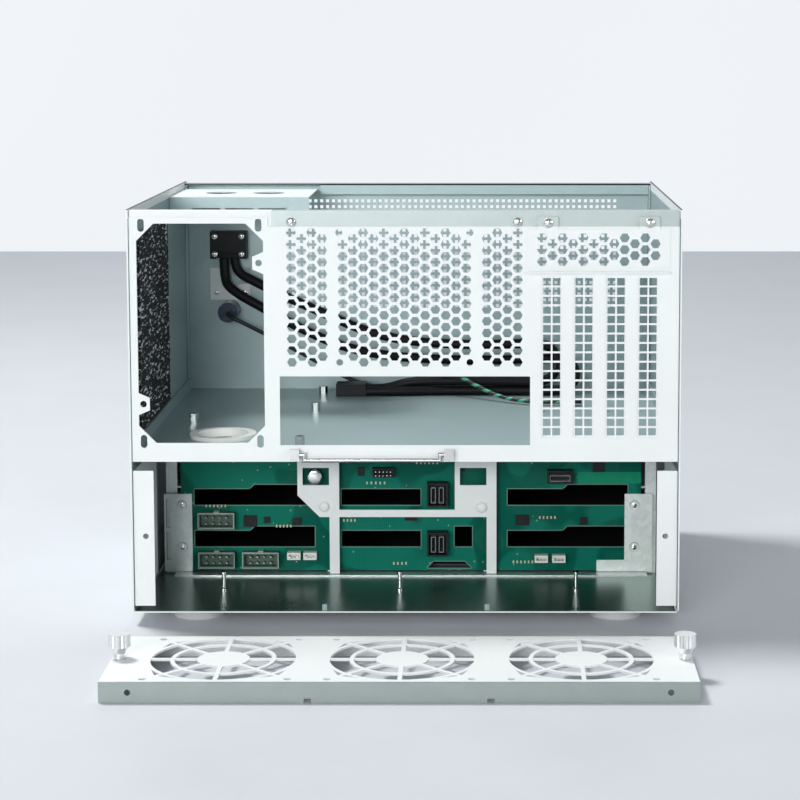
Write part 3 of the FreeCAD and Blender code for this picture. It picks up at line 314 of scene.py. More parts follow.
def plated(name, colour, polish):
    """Bright plating with faint smears."""
    f = Finish(name)
    smear = f.noise(0.004, 4.0)
    base = f.shades(smear, colour, 0.9, 1.05)
    rough = polish + 0.12 * smear
    bump = f.bump(f.noise(0.0005), 0.00003, 0.25)
    return f.surface(Base_Color=base, Metallic=1.0, Roughness=rough, Normal=bump)


def moulded(name, colour, gloss, sheen=0.5):
    """Moulded plastic: fine spark-eroded grain and slight clouding."""
    f = Finish(name)
    cloud = f.noise(0.02)
    base = f.shades(cloud, colour, 0.85, 1.12)
    rough = gloss + 0.12 * cloud
    bump = f.bump(f.noise(0.0006), 0.00006, 0.4)
    return f.surface(Base_Color=base, Roughness=rough, Specular_IOR_Level=sheen, Normal=bump)


def circuit_board(name, mask_colour, copper):
    """Solder mask over copper: bundles of fine tracks in two directions, copper pours and plated holes."""
    f = Finish(name)
    across, _, up = f.split(f.at)
    tracks_up, tracks_across = 800.0, 700.0
    pad_left, pad_foot, pad_top = 0.1137, 0.0716, 0.0796
    pour = f.ramp(f.noise(0.035, 1.0), [(0.46, 0.0), (0.5, 1.0)])
    zones = f.ramp(f.noise(0.024, 0.0), [(0.5, 0.0), (0.53, 1.0)])
    bend = 0.0012 * f.noise(0.014, 0.0)
    level = ((up + bend) * tracks_up).math("FRACT")
    upright = ((across + bend) * tracks_across).math("FRACT")
    tracks = zones * (level > 0.66) + (1.0 - zones) * pour * (upright > 0.74)
    hole = f.cells(0.0068) < 0.085
    pad = (across > pad_left) * (up > pad_foot) * (up < pad_top)
    base = f.shades(0.6 * pour + 0.08, mask_colour, 0.62, 1.25)
    base = f.mix(0.3 * tracks, base, rgb(copper))
    base = f.mix(pad * 0.7, base, (0.012, 0.30, 0.16, 1.0))
    base = f.mix(hole * 0.7, base, (0.36, 0.40, 0.31, 1.0))
    rough = 0.26 + 0.1 * f.noise(0.01)
    bump = f.bump(tracks * 0.6 + hole, 0.00005, 0.5)
    return f.surface(Base_Color=base, Roughness=rough, Specular_IOR_Level=0.06, Normal=bump)


def open_foam(name, colour):
    """Open-cell foam: thin struts, with pores painted darker as painted shade and pale flecks painted as
    glints.
    """
    f = Finish(name)
    pores = f.cells(0.0024)
    # Struts is nought in the middle of a pore and one on the struts; the pores are painted darker as painted
    # shade.
    struts = f.ramp(pores, [(0.25, 0.0), (0.62, 1.0)])
    # Pale flecks painted as glints of light; the flecks are also less rough.
    drawn = f.noise(0.0017, 1.0, 0.5, f.stretched((1.0, 0.2, 1.0)))
    fleck_and_painted_glint = f.ramp(drawn, [(0.57, 0.0), (0.69, 1.0)])
    base = f.mix(fleck_and_painted_glint, f.shades(struts, colour, 0.25, 0.9), (0.62, 0.64, 0.67, 1.0))
    return f.surface(Base_Color=base, Roughness=0.85 - 0.45 * fleck_and_painted_glint, Normal=f.bump(pores, 0.001, 0.9))


def jacket(name, colour):
    """Cable jacket: soft sheen with a fine grain and scuffs."""
    f = Finish(name)
    scuff = f.noise(0.006, 4.0)
    base = f.shades(scuff, colour, 0.7, 1.5)
    rough = 0.38 + 0.2 * scuff
    bump = f.bump(f.noise(0.0005), 0.00005, 0.4)
    return f.surface(Base_Color=base, Roughness=rough, Specular_IOR_Level=0.22, Normal=bump)


def twisted_pair(name, sleeve, first, second, bared, turns):
    """A sleeved lead whose far stretch is a bare twisted pair, read from its own map along and around."""
    f = Finish(name)
    along, around, _ = f.split(f.node("ShaderNodeTexCoord", output="UV"))
    pair = along > bared
    side = (along * turns + around).math("FRACT")
    first_strand = [(0.0, 0.0), (0.12, 1.0), (0.42, 1.0), (0.5, 0.0)]
    second_strand = [(0.6, 1.0), (0.92, 1.0), (1.0, 0.0)]
    groove = f.ramp(side, first_strand + second_strand)
    strands = f.mix(side > 0.5, rgb(first), rgb(second))
    # Near-black where the strands meet: painted shade in the crevices of the twist.
    strands = f.mix(groove, (0.01, 0.01, 0.01, 1.0), strands)
    base = f.mix(pair, f.shades(f.noise(0.004, 3.0), sleeve, 0.7, 1.4), strands)
    bump = f.bump(groove * pair, 0.0004, 0.8)
    return f.surface(Base_Color=base, Roughness=0.36 + 0.1 * groove, Normal=bump)


def stone_floor(name, colour):
    """A plain pale floor with very faint clouding."""
    f = Finish(name)
    cloud = f.noise(0.16, 5.0, 0.6)
    return f.surface(Base_Color=f.shades(cloud, colour, 0.9, 1.06), Roughness=0.42 + 0.2 * cloud)


def plain_wall(name, colour):
    """A pale wall that shows at its written colour to the camera and in reflections."""
    f = Finish(name)
    camera = f.node("ShaderNodeLightPath", output="Is Camera Ray")
    rays = camera.socket.node.outputs
    seen = camera | Value(f, rays["Is Glossy Ray"]) | Value(f, rays["Is Transmission Ray"])
    base = f.shades(f.noise(0.9), colour, 0.97, 1.02)
    matt = f.node("ShaderNodeBsdfDiffuse", None, {"Color": base})
    glow = f.node("ShaderNodeEmission", None, {"Color": base, "Strength": 1.0})
    return f.end_in(f.node("ShaderNodeMixShader", None, {0: seen, 1: matt, 2: glow}))


def finish_named(name):
    """A finish made earlier; the ending keeps it apart from a packed material of the same name."""
    return bpy.data.materials[name + "_finish"]


def add_piece(name, shape, finish, body=BODY, smooth=False, bevel=0.0):
    """Puts points and faces into a mesh at the origin, closes its seams and lets it ride on a body."""
    points, faces = shape
    mesh = bpy.data.meshes.new(name)
    mesh.from_pydata(np.asarray(points, float).tolist(), [], [list(face) for face in faces])
    work = bmesh.new()
    work.from_mesh(mesh)
    bmesh.ops.remove_doubles(work, verts=work.verts, dist=1e-6)
    loose = [v for v in work.verts if not v.link_faces]
    bmesh.ops.delete(work, geom=loose, context="VERTS")
    work.to_mesh(mesh)
    work.free()
    if smooth:
        mesh.shade_smooth()
    else:
        mesh.shade_flat()
    mesh.materials.append(finish_named(finish))
    piece = bpy.data.objects.new(name, mesh)
    bpy.context.scene.collection.objects.link(piece)
    if bevel:
        edge = piece.modifiers.new("edge", "BEVEL")
        edge.width = bevel
        edge.segments = 2
        edge.limit_method = "ANGLE"
    if body:
        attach(piece, body)
    return piece


BOX_FACES = np.array([(0, 3, 2, 1), (4, 5, 6, 7), (0, 1, 5, 4), (1, 2, 6, 5), (2, 3, 7, 6), (3, 0, 4, 7)])


def boxes(corners):
    """Closed boxes: each low and high corner gives eight points and six faces wound outwards."""
    corners = np.asarray(corners, float).reshape(-1, 2, 3)
    pick = np.array([(0, 0, 0), (1, 0, 0), (1, 1, 0), (0, 1, 0), (0, 0, 1), (1, 0, 1), (1, 1, 1), (0, 1, 1)])
    points = np.where(pick[None] == 0, corners[:, None, 0], corners[:, None, 1])
    faces = BOX_FACES[None] + 8 * np.arange(len(corners))[:, None, None]
    return points.reshape(-1, 3), faces.reshape(-1, 4)


def grid_faces(rows, columns, closed):
    """Faces between neighbouring rows and columns of a grid, with its columns joined round where closed."""
    row, column = np.meshgrid(np.arange(rows - 1), np.arange(columns - (not closed)), indexing="ij")
    after = (column + 1) % columns
    first = row * columns
    faces = np.stack([first + column, first + after, first + columns + after, first + columns + column], -1)
    return faces.reshape(-1, 4)


def turned(radius, height, centres, axis, steps=24):
    """Surfaces of revolution: a profile of radius and height turned about a line through each centre.

    Radius and height are one number a ring, or one a ring and step where the profile changes with the turn.
    """
    radius, height = (np.reshape(a, (len(a), -1)) * np.ones(steps) for a in (radius, height))
    turn = np.linspace(0, 2 * np.pi, steps, endpoint=False)
    axis = np.asarray(axis, float)
    side = np.roll(axis, 1)
    ring = np.cos(turn)[:, None] * side + np.sin(turn)[:, None] * np.cross(axis, side)
    one = radius[..., None] * ring[None] + height[..., None] * axis
    centres = np.asarray(centres, float).reshape(-1, 1, 3)
    points = (one.reshape(1, -1, 3) + centres).reshape(-1, 3)
    faces = grid_faces(len(radius), steps, True)
    shift = len(radius) * steps * np.arange(len(centres))[:, None, None]
    return points, (faces[None] + shift).reshape(-1, 4)


def cross_heads(radius, height, centres, axis, steps=40):
    """Domed screw heads: height falls with the square of the distance out, less a cross-shaped recess."""
    turn = np.linspace(0, 2 * np.pi, steps, endpoint=False)
    out = np.array([0.0, 0.12, 0.22, 0.3, 0.42, 0.55, 0.62, 0.8, 0.95, 1.0])[::-1]
    reach = np.repeat((out * radius)[:, None], steps, 1)
    dome = height * (1.0 - 0.45 * (reach / radius) ** 2)
    narrow = np.minimum(np.abs(np.cos(turn)), np.abs(np.sin(turn)))[None] * reach
    recess = (narrow < 0.15 * radius) & (reach < 0.58 * radius)
    rings = np.vstack([np.zeros(steps), np.full(steps, radius), reach])
    levels = np.vstack([np.zeros(steps), np.zeros(steps), dome - 0.6 * height * recess])
    return turned(rings, levels, centres, axis, steps)


def pierced_sheet(across, up, solid, near, far):
    """A flat sheet on a grid of lines: a solid cell has a near and a far face, and walls to empty cells."""
    columns, rows = len(across), len(up)
    x, z = np.meshgrid(across, up, indexing="ij")
    layers = [np.stack([x, np.full_like(x, y), z], -1).reshape(-1, 3) for y in (near, far)]
    padded = np.pad(solid, 1)
    i, j = np.nonzero(solid)

    def corner(di, dj, layer):
        return (i + di) * rows + (j + dj) + layer * columns * rows

    faces = [
        np.stack([corner(0, 0, 0), corner(1, 0, 0), corner(1, 1, 0), corner(0, 1, 0)], -1),
        np.stack([corner(0, 0, 1), corner(0, 1, 1), corner(1, 1, 1), corner(1, 0, 1)], -1),
    ]
    walls = [
        ((-1, 0), [(0, 0, 0), (0, 1, 0), (0, 1, 1), (0, 0, 1)]),
        ((1, 0), [(1, 0, 0), (1, 0, 1), (1, 1, 1), (1, 1, 0)]),
        ((0, -1), [(0, 0, 0), (0, 0, 1), (1, 0, 1), (1, 0, 0)]),
        ((0, 1), [(0, 1, 0), (1, 1, 0), (1, 1, 1), (0, 1, 1)]),
    ]
    for (di, dj), corners in walls:
        open_side = ~padded[i + 1 + di, j + 1 + dj]
        faces.append(np.stack([corner(*c) for c in corners], -1)[open_side])
    return np.vstack(layers), np.vstack(faces)


def upright_boxes(corners, near, far):
    """Boxes between two depths, each from its low and high corner across and up."""
    corners = np.asarray(corners, float).reshape(-1, 2, 2)
    low = np.insert(corners[:, 0], 1, near, 1)
    high = np.insert(corners[:, 1], 1, far, 1)
    return boxes(np.stack([low, high], 1))


def posts(places, half, near, far):
    """Square posts with their middles at the places."""
    places = np.asarray(places, float).reshape(-1, 1, 2)
    return upright_boxes(places + np.array([[-half, -half], [half, half]]), near, far)


def frames(places, half, wall, near, far):
    """Hollow rectangles round the places: two uprights, and two cross pieces between them, of one wall."""
    w, h = half
    sides = np.array([
        [(-w, -h), (-w + wall, h)], [(w - wall, -h), (w, h)],
        [(-w + wall, -h), (w - wall, -h + wall)], [(-w + wall, h - wall), (w - wall, h)],
    ])
    places = np.asarray(places, float).reshape(-1, 1, 1, 2)
    return upright_boxes(places + sides[None], near, far)


def pin_rows(places, columns, rows, pitch):
    """Places of a block of pins about each middle, from its counts and its pitch across and up."""
    across = (np.arange(columns) - (columns - 1) / 2) * pitch[0]
    up = (np.arange(rows) - (rows - 1) / 2) * pitch[1]
    block = np.stack(np.meshgrid(across, up, indexing="ij"), -1).reshape(1, -1, 2)
    return (np.asarray(places, float).reshape(-1, 1, 2) + block).reshape(-1, 2)


def edge_strips(outlines, width, near, far):
    """Flat strips along the outside of each clockwise outline: every edge is moved out by the width."""
    start = np.vstack([np.asarray(o, float) for o in outlines])
    end = np.vstack([np.roll(np.asarray(o, float), -1, 0) for o in outlines])
    line = (end - start) / np.linalg.norm(end - start, axis=1, keepdims=True)
    out = width * np.stack([-line[:, 1], line[:, 0]], -1)
    grow = width * 0.4 * line
    ring = np.stack([start - grow, start - grow + out, end + grow + out, end + grow], 1)
    points = np.concatenate([np.insert(ring, 1, y, 2) for y in (near, far)], 1).reshape(-1, 3)
    faces = BOX_FACES[None, :, ::-1] + 8 * np.arange(len(start))[:, None, None]
    return points, faces.reshape(-1, 4)


def domes(radius, height, centres, axis):
    """Round rivet heads: radius falls with the cosine and height grows with the sine of one quarter turn."""
    turn = np.linspace(0.0, np.pi / 2, 8)
    out = np.append(0.0, radius * np.cos(turn))
    rise = np.append(0.0, height * np.sin(turn))
    return turned(out, rise, centres, axis, 28)


def join_parts(*parts):
    """Several lists of points and faces as one."""
    points, faces, count = [], [], 0
    for some, quads in parts:
        points.append(np.asarray(some, float))
        faces += [[int(k) + count for k in face] for face in quads]
        count += len(some)
    return np.vstack(points), faces


def cord_curve(name, route, radius, finish):
    """A round cord whose line is a smooth spline with the route's points as its control points."""
    curve = bpy.data.curves.new(name, "CURVE")
    curve.dimensions = "3D"
    curve.bevel_depth = radius
    curve.bevel_resolution = 5
    curve.use_fill_caps = True
    curve.resolution_u = 16
    spline = curve.splines.new("NURBS")
    spline.points.add(len(route) - 1)
    weights = np.ones((len(route), 1))
    spline.points.foreach_set("co", np.hstack([np.array(route), weights]).ravel())
    spline.order_u = 3
    spline.use_endpoint_u = True
    curve.materials.append(finish_named(finish))
    piece = bpy.data.objects.new(name, curve)
    bpy.context.scene.collection.objects.link(piece)
    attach(piece, BODY)
    return piece


def middle(box):
    """The middle of a box from its low and high corners."""
    return (np.array(box[0]) + np.array(box[1])) / 2


def dress(finish, *nodes):
    """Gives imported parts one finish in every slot."""
    for name in nodes:
        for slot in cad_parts[name].material_slots:
            slot.material = finish


def colour_property(name, description, default):
    return bpy.props.FloatVectorProperty(
        name=name, description=description, subtype="COLOR", default=default, min=0.0, max=1.0)


def length_property(name, description, default, low, high):
    return bpy.props.FloatProperty(
        name=name, description=description, default=default, min=low, max=high, unit="LENGTH")


class CaseColours(bpy.types.PropertyGroup):
    """Colours that a user would change."""

    coat: colour_property("Powder coat", "Colour of the coated sheets", (0.80, 0.83, 0.825))
    # The satin colour is bare metal darkened and tinted teal as painted shade for the sheets inside the case.
    satin: colour_property("Satin metal", "Colour of the sheets inside the case", (0.35, 0.445, 0.455))
    zinc: colour_property("Zinc", "Colour of the bare galvanised sheets", (0.62, 0.66, 0.66))
    board: colour_property("Solder mask", "Colour of the circuit board", (0.002, 0.15, 0.105))
    foam: colour_property("Foam", "Colour of the dust filter", (0.012, 0.013, 0.015))
    floor: colour_property("Floor", "Colour of the studio floor", (0.60, 0.625, 0.66))
    wall: colour_property("Backdrop", "Colour of the studio backdrop", (0.87, 0.895, 0.935))


class CaseSizes(bpy.types.PropertyGroup):
    """Sizes that a user would change."""

    cable_radius: length_property(
        "Port cable radius", "Half the thickness of the two front port cables", 0.0035, 0.001, 0.006)
    lead_radius: length_property(
        "Button lead radius", "Half the thickness of the button's lead", 0.0015, 0.0005, 0.003)
    grille_hole: length_property(
        "Front hole", "Side of the square holes in the front panel", 0.0024, 0.001, 0.006)
    grille_pitch: length_property(
        "Front pitch", "Distance between the holes in the front panel", 0.0044, 0.002, 0.012)
    foam_pore: length_property("Foam pore", "Width of the foam's pores", 0.0026, 0.001, 0.006)
    camera_lens: bpy.props.FloatProperty(
        name="Lens", description="Focal length of the camera, in millimetres",
        default=98.66, min=20.0, max=300.0)


class CASE_OT_finishes(bpy.types.Operator):
    """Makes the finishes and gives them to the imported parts."""

    bl_idname = "server_case.finishes"
    bl_label = "Finishes"

    def execute(self, context):
        colours = context.scene.case_colours
        self.sheets(colours)
        dress(galvanised("zinc_sheet", colours.zinc), "drive_cage", "side_bracket_left")
        # The right bracket's zinc is a paler copy of the left one's, as painted light.
        dress(galvanised("pale_zinc_sheet", (0.74, 0.79, 0.77)), "side_bracket_right")
        dress(plated("bright_plate", (0.64, 0.65, 0.64), 0.12),
              "bail_handle", "bail_lugs", "retainer_screws", "standoffs", "power_button")
        dress(plated("knurled_nickel", (0.88, 0.89, 0.885), 0.24), "thumbscrew_left", "thumbscrew_right")
        dress(moulded("milky_plastic", (0.78, 0.80, 0.76), 0.32), "cable_grommet", "fan_headers")
        dress(moulded("socket_plastic", (0.05, 0.10, 0.075), 0.4), "power_sockets")
        dress(moulded("black_plastic", (0.006, 0.0065, 0.0075), 0.42, 0.25),
              "port_module", "data_sockets", "drive_sockets", "button_plug", "port_plug")
        dress(moulded("blue_plastic", (0.010, 0.024, 0.06), 0.22), "button_body")
        dress(moulded("pale_rubber", (0.55, 0.56, 0.56), 0.32), "feet")
        dress(moulded("tray_plastic", (0.018, 0.019, 0.021), 0.4),
              *[f"{part}_{bay}" for part in ("drive_tray", "tray_lever") for bay in BAYS])
        dress(circuit_board("green_board", colours.board, (0.04, 0.20, 0.13)), "backplane")
        open_foam("black_foam", colours.foam)
        jacket("cable_jacket", (0.006, 0.006, 0.007))
        sleeve, green = (0.012, 0.013, 0.014), (0.05, 0.34, 0.20)
        twisted_pair("twisted_lead", sleeve, green, sleeve, 0.60, 30.0)
        plated("dull_pins", (0.22, 0.26, 0.24), 0.4)
        moulded("cream_plastic", (0.62, 0.56, 0.40), 0.35)
        moulded("grey_plastic", (0.20, 0.22, 0.23), 0.3)
        moulded("rim_plastic", (0.34, 0.41, 0.37), 0.3)
        moulded("board_edge", (0.10, 0.22, 0.17), 0.4)
        return {"FINISHED"}

    @staticmethod
    def sheets(colours):
        """Finishes of the folded sheets, which change from coat to bare metal at a depth within the sheet."""
        # The sheets inside the case take the satin colour, which carries painted shade.
        coat, satin = colours.coat, colours.satin
        band, flange, zinc_floor_with_painted_shade_and_reflection = (0.44, 0.505, 0.49), (0.30, 0.345, 0.335), (0.13, 0.20, 0.175)
        within_wall, within_sheet = 0.0008, 0.0006
        rim_height, rim_depth = 0.0011, 0.0014
        dress(powder_coat("white_coat", coat),
              "front_panel", "backplane_brace", "panel_flange_left", "panel_flange_right",
              *[f"slot_cover_{k}" for k in range(1, 5)])
        dress(satin_sheet("satin_sheet", satin), "board_tray")
        inner_wall = cad_high[0] - within_wall
        # The inner floor's colour carries painted shade and a painted green reflection.
        dress(shell_sheet("shell_coat", coat, satin, zinc_floor_with_painted_shade_and_reflection, inner_wall, FLOOR_TOP, cad_high[2]),
              "outer_shell")
        dress(part_coated("rear_coat", coat, band, lambda x, y, z: (z > BAND_FOOT) * (x > BAND_LEFT)),
              "rear_panel")
        dress(part_coated("retainer_coat", coat, band, lambda x, y, z: z > BAND_FOOT), "slot_retainer")
        # The fan panel's near flange is bare metal whose colour is darkened as painted shade.
        panel_front = cad_low[1] + SHEET
        dress(part_coated("fan_panel_coat", coat, flange, lambda x, y, z: y < panel_front), "fan_panel")
        front_low, front_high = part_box("front_panel")
        front_face = front_high[1] - within_sheet
        fold_back = front_low[1] + rim_depth
        fold_top = front_high[2] - rim_height
        part_coated("front_coat", coat, satin, lambda x, y, z: y < front_face,
                    lambda x, y, z: (y < fold_back) * (z > fold_top))
        shelf_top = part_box("drive_shelf")[1][2] - within_sheet
        dress(part_coated("shelf_coat", (0.70, 0.75, 0.76), satin, lambda x, y, z: z < shelf_top),
              "drive_shelf")
        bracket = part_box("port_bracket")
        notch_x = bracket[0][0] + 0.3 * (bracket[1][0] - bracket[0][0])
        notch_z = middle(bracket)[2]
        dress(part_coated("port_plate_coat", satin, colours.zinc,
                          lambda x, y, z: (z < notch_z) | (x < notch_x)), "port_bracket")


class CASE_OT_cords(bpy.types.Operator):
    """Lays the two front port cables and the button's lead along their routes."""

    bl_idname = "server_case.cords"
    bl_label = "Cords"

    def execute(self, context):
        sizes = context.scene.case_sizes
        upper = cord_curve("front_cable_upper", UPPER_CABLE, sizes.cable_radius, "cable_jacket")
        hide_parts("port_cable_upper")
        lower = cord_curve("front_cable_lower", LOWER_CABLE, sizes.cable_radius, "cable_jacket")
        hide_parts("port_cable_lower")
        lead = cord_curve("power_lead", BUTTON_LEAD, sizes.lead_radius, "twisted_lead")
        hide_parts("button_lead")
        return {"FINISHED"}


class CASE_OT_foam(bpy.types.Operator):
    """Makes the dust filter: a slab whose open face sinks in at each pore."""

    bl_idname = "server_case.foam"
    bl_label = "Dust filter"

    def execute(self, context):
        low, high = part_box("dust_filter")
        pore = context.scene.case_sizes.foam_pore
        lines, pore_depth, rim_sink = 150, 0.0016, 0.0008
        y = np.linspace(low[1], high[1], lines)
        z = np.linspace(low[2], high[2], lines)
        y, z = np.meshgrid(y, z, indexing="ij")
        face = high[0] - pore_depth * self.pores(y / pore, z / pore)
        rim = np.zeros_like(face, bool)
        rim[[0, -1], :] = True
        rim[:, [0, -1]] = True
        face[rim] = high[0] - rim_sink
        back = np.full_like(face, low[0])
        points = np.vstack([np.stack([x, y, z], -1).reshape(-1, 3) for x in (back, face)])
        count = face.size
        near = grid_faces(*face.shape, False)
        index = np.arange(count).reshape(face.shape)
        loop = np.concatenate([index[:-1, 0], index[-1, :-1], index[:0:-1, -1], index[0, :0:-1]])
        after = np.roll(loop, -1)
        wall = np.stack([loop, after, after + count, loop + count], -1)
        faces = np.vstack([near[:, ::-1], near + count, wall])
        foam = add_piece("foam_filter", (points, faces), "black_foam", smooth=True)
        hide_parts("dust_filter")
        return {"FINISHED"}

    @staticmethod
    def pores(u, v):
        """How deep a point lies in its pore: one less its distance from the nearest jittered grid point."""
        side = 80
        jitter = np.random.default_rng(7).random((side, side, 2))
        u = u - u.min()
        v = v - v.min()
        nearest = np.full(u.shape, np.inf)
        for du in (-1, 0, 1):
            for dv in (-1, 0, 1):
                i = np.clip(np.floor(u).astype(int) + du, 0, side - 1)
                j = np.clip(np.floor(v).astype(int) + dv, 0, side - 1)
                centre = jitter[i, j]
                nearest = np.minimum(nearest, np.hypot(i + centre[..., 0] - u, j + centre[..., 1] - v))
        return np.clip(1.0 - nearest, 0.0, 1.0)


class CASE_OT_front_panel(bpy.types.Operator):
    """Makes the front panel with a plain field of small square air holes."""

    bl_idname = "server_case.front_panel"
    bl_label = "Front panel"

    def execute(self, context):
        sizes = context.scene.case_sizes
        low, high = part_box("front_panel")
        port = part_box("port_module")
        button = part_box("power_button")
        near, far = high[1] - SHEET, high[1]
        bay_gap, knob_gap, patch, hair = 0.0005, 0.0003, 0.009, 1e-6
        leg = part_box("drive_cage")[1][0] + bay_gap
        bay_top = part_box("drive_tray_left_top")[1][2] + bay_gap
        port_x, _, port_z = middle(port)
        mouth_x = (port[1][0] - port[0][0]) / 3
        mouth_z = (port[1][2] - port[0][2]) / 3
        knob_x, _, knob_z = middle(button)
        knob_r = (button[1][0] - button[0][0]) / 2 + knob_gap
        hole, pitch = sizes.grille_hole, sizes.grille_pitch
        first_x = np.arange(*FIELD_ACROSS, pitch)
        first_z = np.arange(*FIELD_UP, pitch)
        across = np.concatenate([
            [low[0], -leg, leg, high[0], port_x - mouth_x, port_x + mouth_x, knob_x - patch, knob_x + patch],
            first_x, first_x + hole,
        ])
        up = np.concatenate([
            [low[2], bay_top, high[2], port_z - mouth_z, port_z + mouth_z, knob_z - patch, knob_z + patch],
            first_z, first_z + hole,
        ])
        across = np.unique(np.round(across, 6))
        up = np.unique(np.round(up, 6))
        x = ((across[1:] + across[:-1]) / 2)[:, None]
        z = ((up[1:] + up[:-1]) / 2)[None, :]
        bays = (np.abs(x) < leg) & (z < bay_top)
        mouth = (np.abs(x - port_x) < mouth_x) & (np.abs(z - port_z) < mouth_z)
        around = (np.abs(x - knob_x) < patch) & (np.abs(z - knob_z) < patch)
        in_x = (x > first_x[0]) & (x < first_x[-1] + hole) & (np.mod(x - first_x[0], pitch) < hole)
        in_z = (z > first_z[0]) & (z < first_z[-1] + hole) & (np.mod(z - first_z[0], pitch) < hole)
        solid = ~(bays | mouth | around | (in_x & in_z))
        plate = pierced_sheet(across, up, solid, near, far)
        edge_x = across[np.abs(across - knob_x) < patch + hair]
        edge_z = up[np.abs(up - knob_z) < patch + hair]
        ring = self.round_hole(knob_x, knob_z, knob_r, edge_x, edge_z, near, far)
        shape = join_parts(plate, ring, self.folds(low, high, near))
        panel = add_piece("perforated_front", shape, "front_coat")
        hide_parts("front_panel")
        return {"FINISHED"}

    @staticmethod
    def folds(low, high, near):
        """The folded edges as boxes: the top, the lip behind it and the two sides."""
        back, lip, sunk = low[1], 0.008, 0.0002
        lip_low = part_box("drive_shelf")[1][0] + 0.002
        lip_high = high[0] - SHEET - 0.0003
        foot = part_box("board_tray")[1][2] + 0.001
        under = high[2] - SHEET / 2
        return boxes([
            [(low[0], back, high[2] - SHEET), (high[0], near + sunk, high[2])],
            [(lip_low, back, high[2] - lip), (lip_high, back + SHEET, under)],
            [(low[0], back, foot), (low[0] + SHEET, near + sunk, under)],
            [(high[0] - SHEET, back, foot), (high[0], near + sunk, under)],
        ])

    @staticmethod
    def round_hole(x, z, radius, edge_x, edge_z, near, far):
        """A square patch with a round hole: each side of its rim is joined to a quarter of the circle."""
        sides = [np.stack(np.broadcast_arrays(*side), -1) for side in (
            (edge_x[:-1], edge_z[0]), (edge_x[-1], edge_z[:-1]),
            (edge_x[:0:-1], edge_z[-1]), (edge_x[0], edge_z[:0:-1]),
        )]
        rim = np.vstack(sides)
        steps = 48
        turn = np.linspace(0, 2 * np.pi, steps, endpoint=False) - 3 * np.pi / 4
        circle = np.stack([x + radius * np.cos(turn), z + radius * np.sin(turn)], -1)
        flat = np.vstack([rim, circle])
        points = np.vstack([np.insert(flat, 1, y, 1) for y in (near, far)])
        n, m, count = len(rim), len(circle), len(flat)
        corners = np.cumsum([0] + [len(side) for side in sides])
        faces = []
        for k in range(4):
            outer = [int(c) % n for c in range(corners[k], corners[k + 1] + 1)]
            inner = [n + (k * m // 4 + c) % m for c in range(m // 4, -1, -1)]
            faces.append(outer + inner)
            faces.append([c + count for c in (outer + inner)[::-1]])
        step = np.arange(m)
        after = (step + 1) % m
        faces += np.stack([n + step, n + after, n + after + count, n + step + count], -1).tolist()
        return points, faces


class CASE_OT_fasteners(bpy.types.Operator):
    """Makes the screws, rivet heads and floor studs."""

    bl_idname = "server_case.fasteners"
    bl_label = "Fasteners"

    def execute(self, context):
        self.screws()
        studs = [(x, 0.0007, FLOOR_TOP) for x in (-0.1228, -0.006, 0.111)]
        radius = [0.0, 0.0022, 0.0022, 0.0013, 0.0013, 0.0021, 0.0021, 0.0]
        height = [0.0, 0.0, 0.0012, 0.0016, 0.0108, 0.0110, 0.0124, 0.0124]
        shape = turned(radius, height, studs, (0.0, 0.0, 1.0), 20)
        add_piece("floor_studs", shape, "bright_plate")
        bracket_sheet, rivet_radius = 0.0010, 0.0034
        seat = BOARD_REAR - bracket_sheet
        rivets = [(x, seat, z) for x in (-0.1564, 0.1526) for z in (0.0567, 0.0277)]
        shape = domes(rivet_radius, 0.0014, rivets, REARWARDS)
        add_piece("bracket_rivets", shape, "bright_plate", smooth=True)
        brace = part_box("backplane_brace")[0][1]
        rivets = [(-0.0589, brace, 0.0570), (0.0484, brace, 0.0564)]
        shape = domes(rivet_radius, 0.0011, rivets, REARWARDS)
        add_piece("brace_rivets", shape, "white_coat", smooth=True)
        return {"FINISHED"}

    @staticmethod
    def screws():
        """Screw heads on the rear panel, the retainer, the port module and its bracket, each of one size."""
        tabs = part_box("retainer_screws")
        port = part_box("port_module")
        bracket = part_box("port_bracket")
        tab_inset, port_inset = 0.003, 0.0035
        tab_face, tab_level = tabs[0][1] + 0.0002, middle(tabs)[2]
        lid = [(x, REAR_FACE, 0.259) for x in (-0.0713, 0.0713)]
        heads = [(x, tab_face, tab_level) for x in (tabs[0][0] + tab_inset, tabs[1][0] - tab_inset)]
        corners = [(x, port[0][1], z) for x in (port[0][0] + port_inset, port[1][0] - port_inset)
                   for z in (port[0][2] + port_inset, port[1][2] - port_inset)]
        pair = [(x, bracket[0][1], bracket[0][2] + 0.0055)
                for x in (bracket[0][0] + 0.0045, bracket[1][0] - 0.004)]
        for name, radius, height, places in (
            ("lid_screws", 0.0028, 0.0014, lid),
            ("retainer_heads", 0.0029, 0.0016, heads),
            ("port_screws", 0.0021, 0.0011, corners),
            ("plate_screws", 0.0019, 0.0009, pair),
        ):
            add_piece(name, cross_heads(radius, height, places, REARWARDS), "bright_plate")


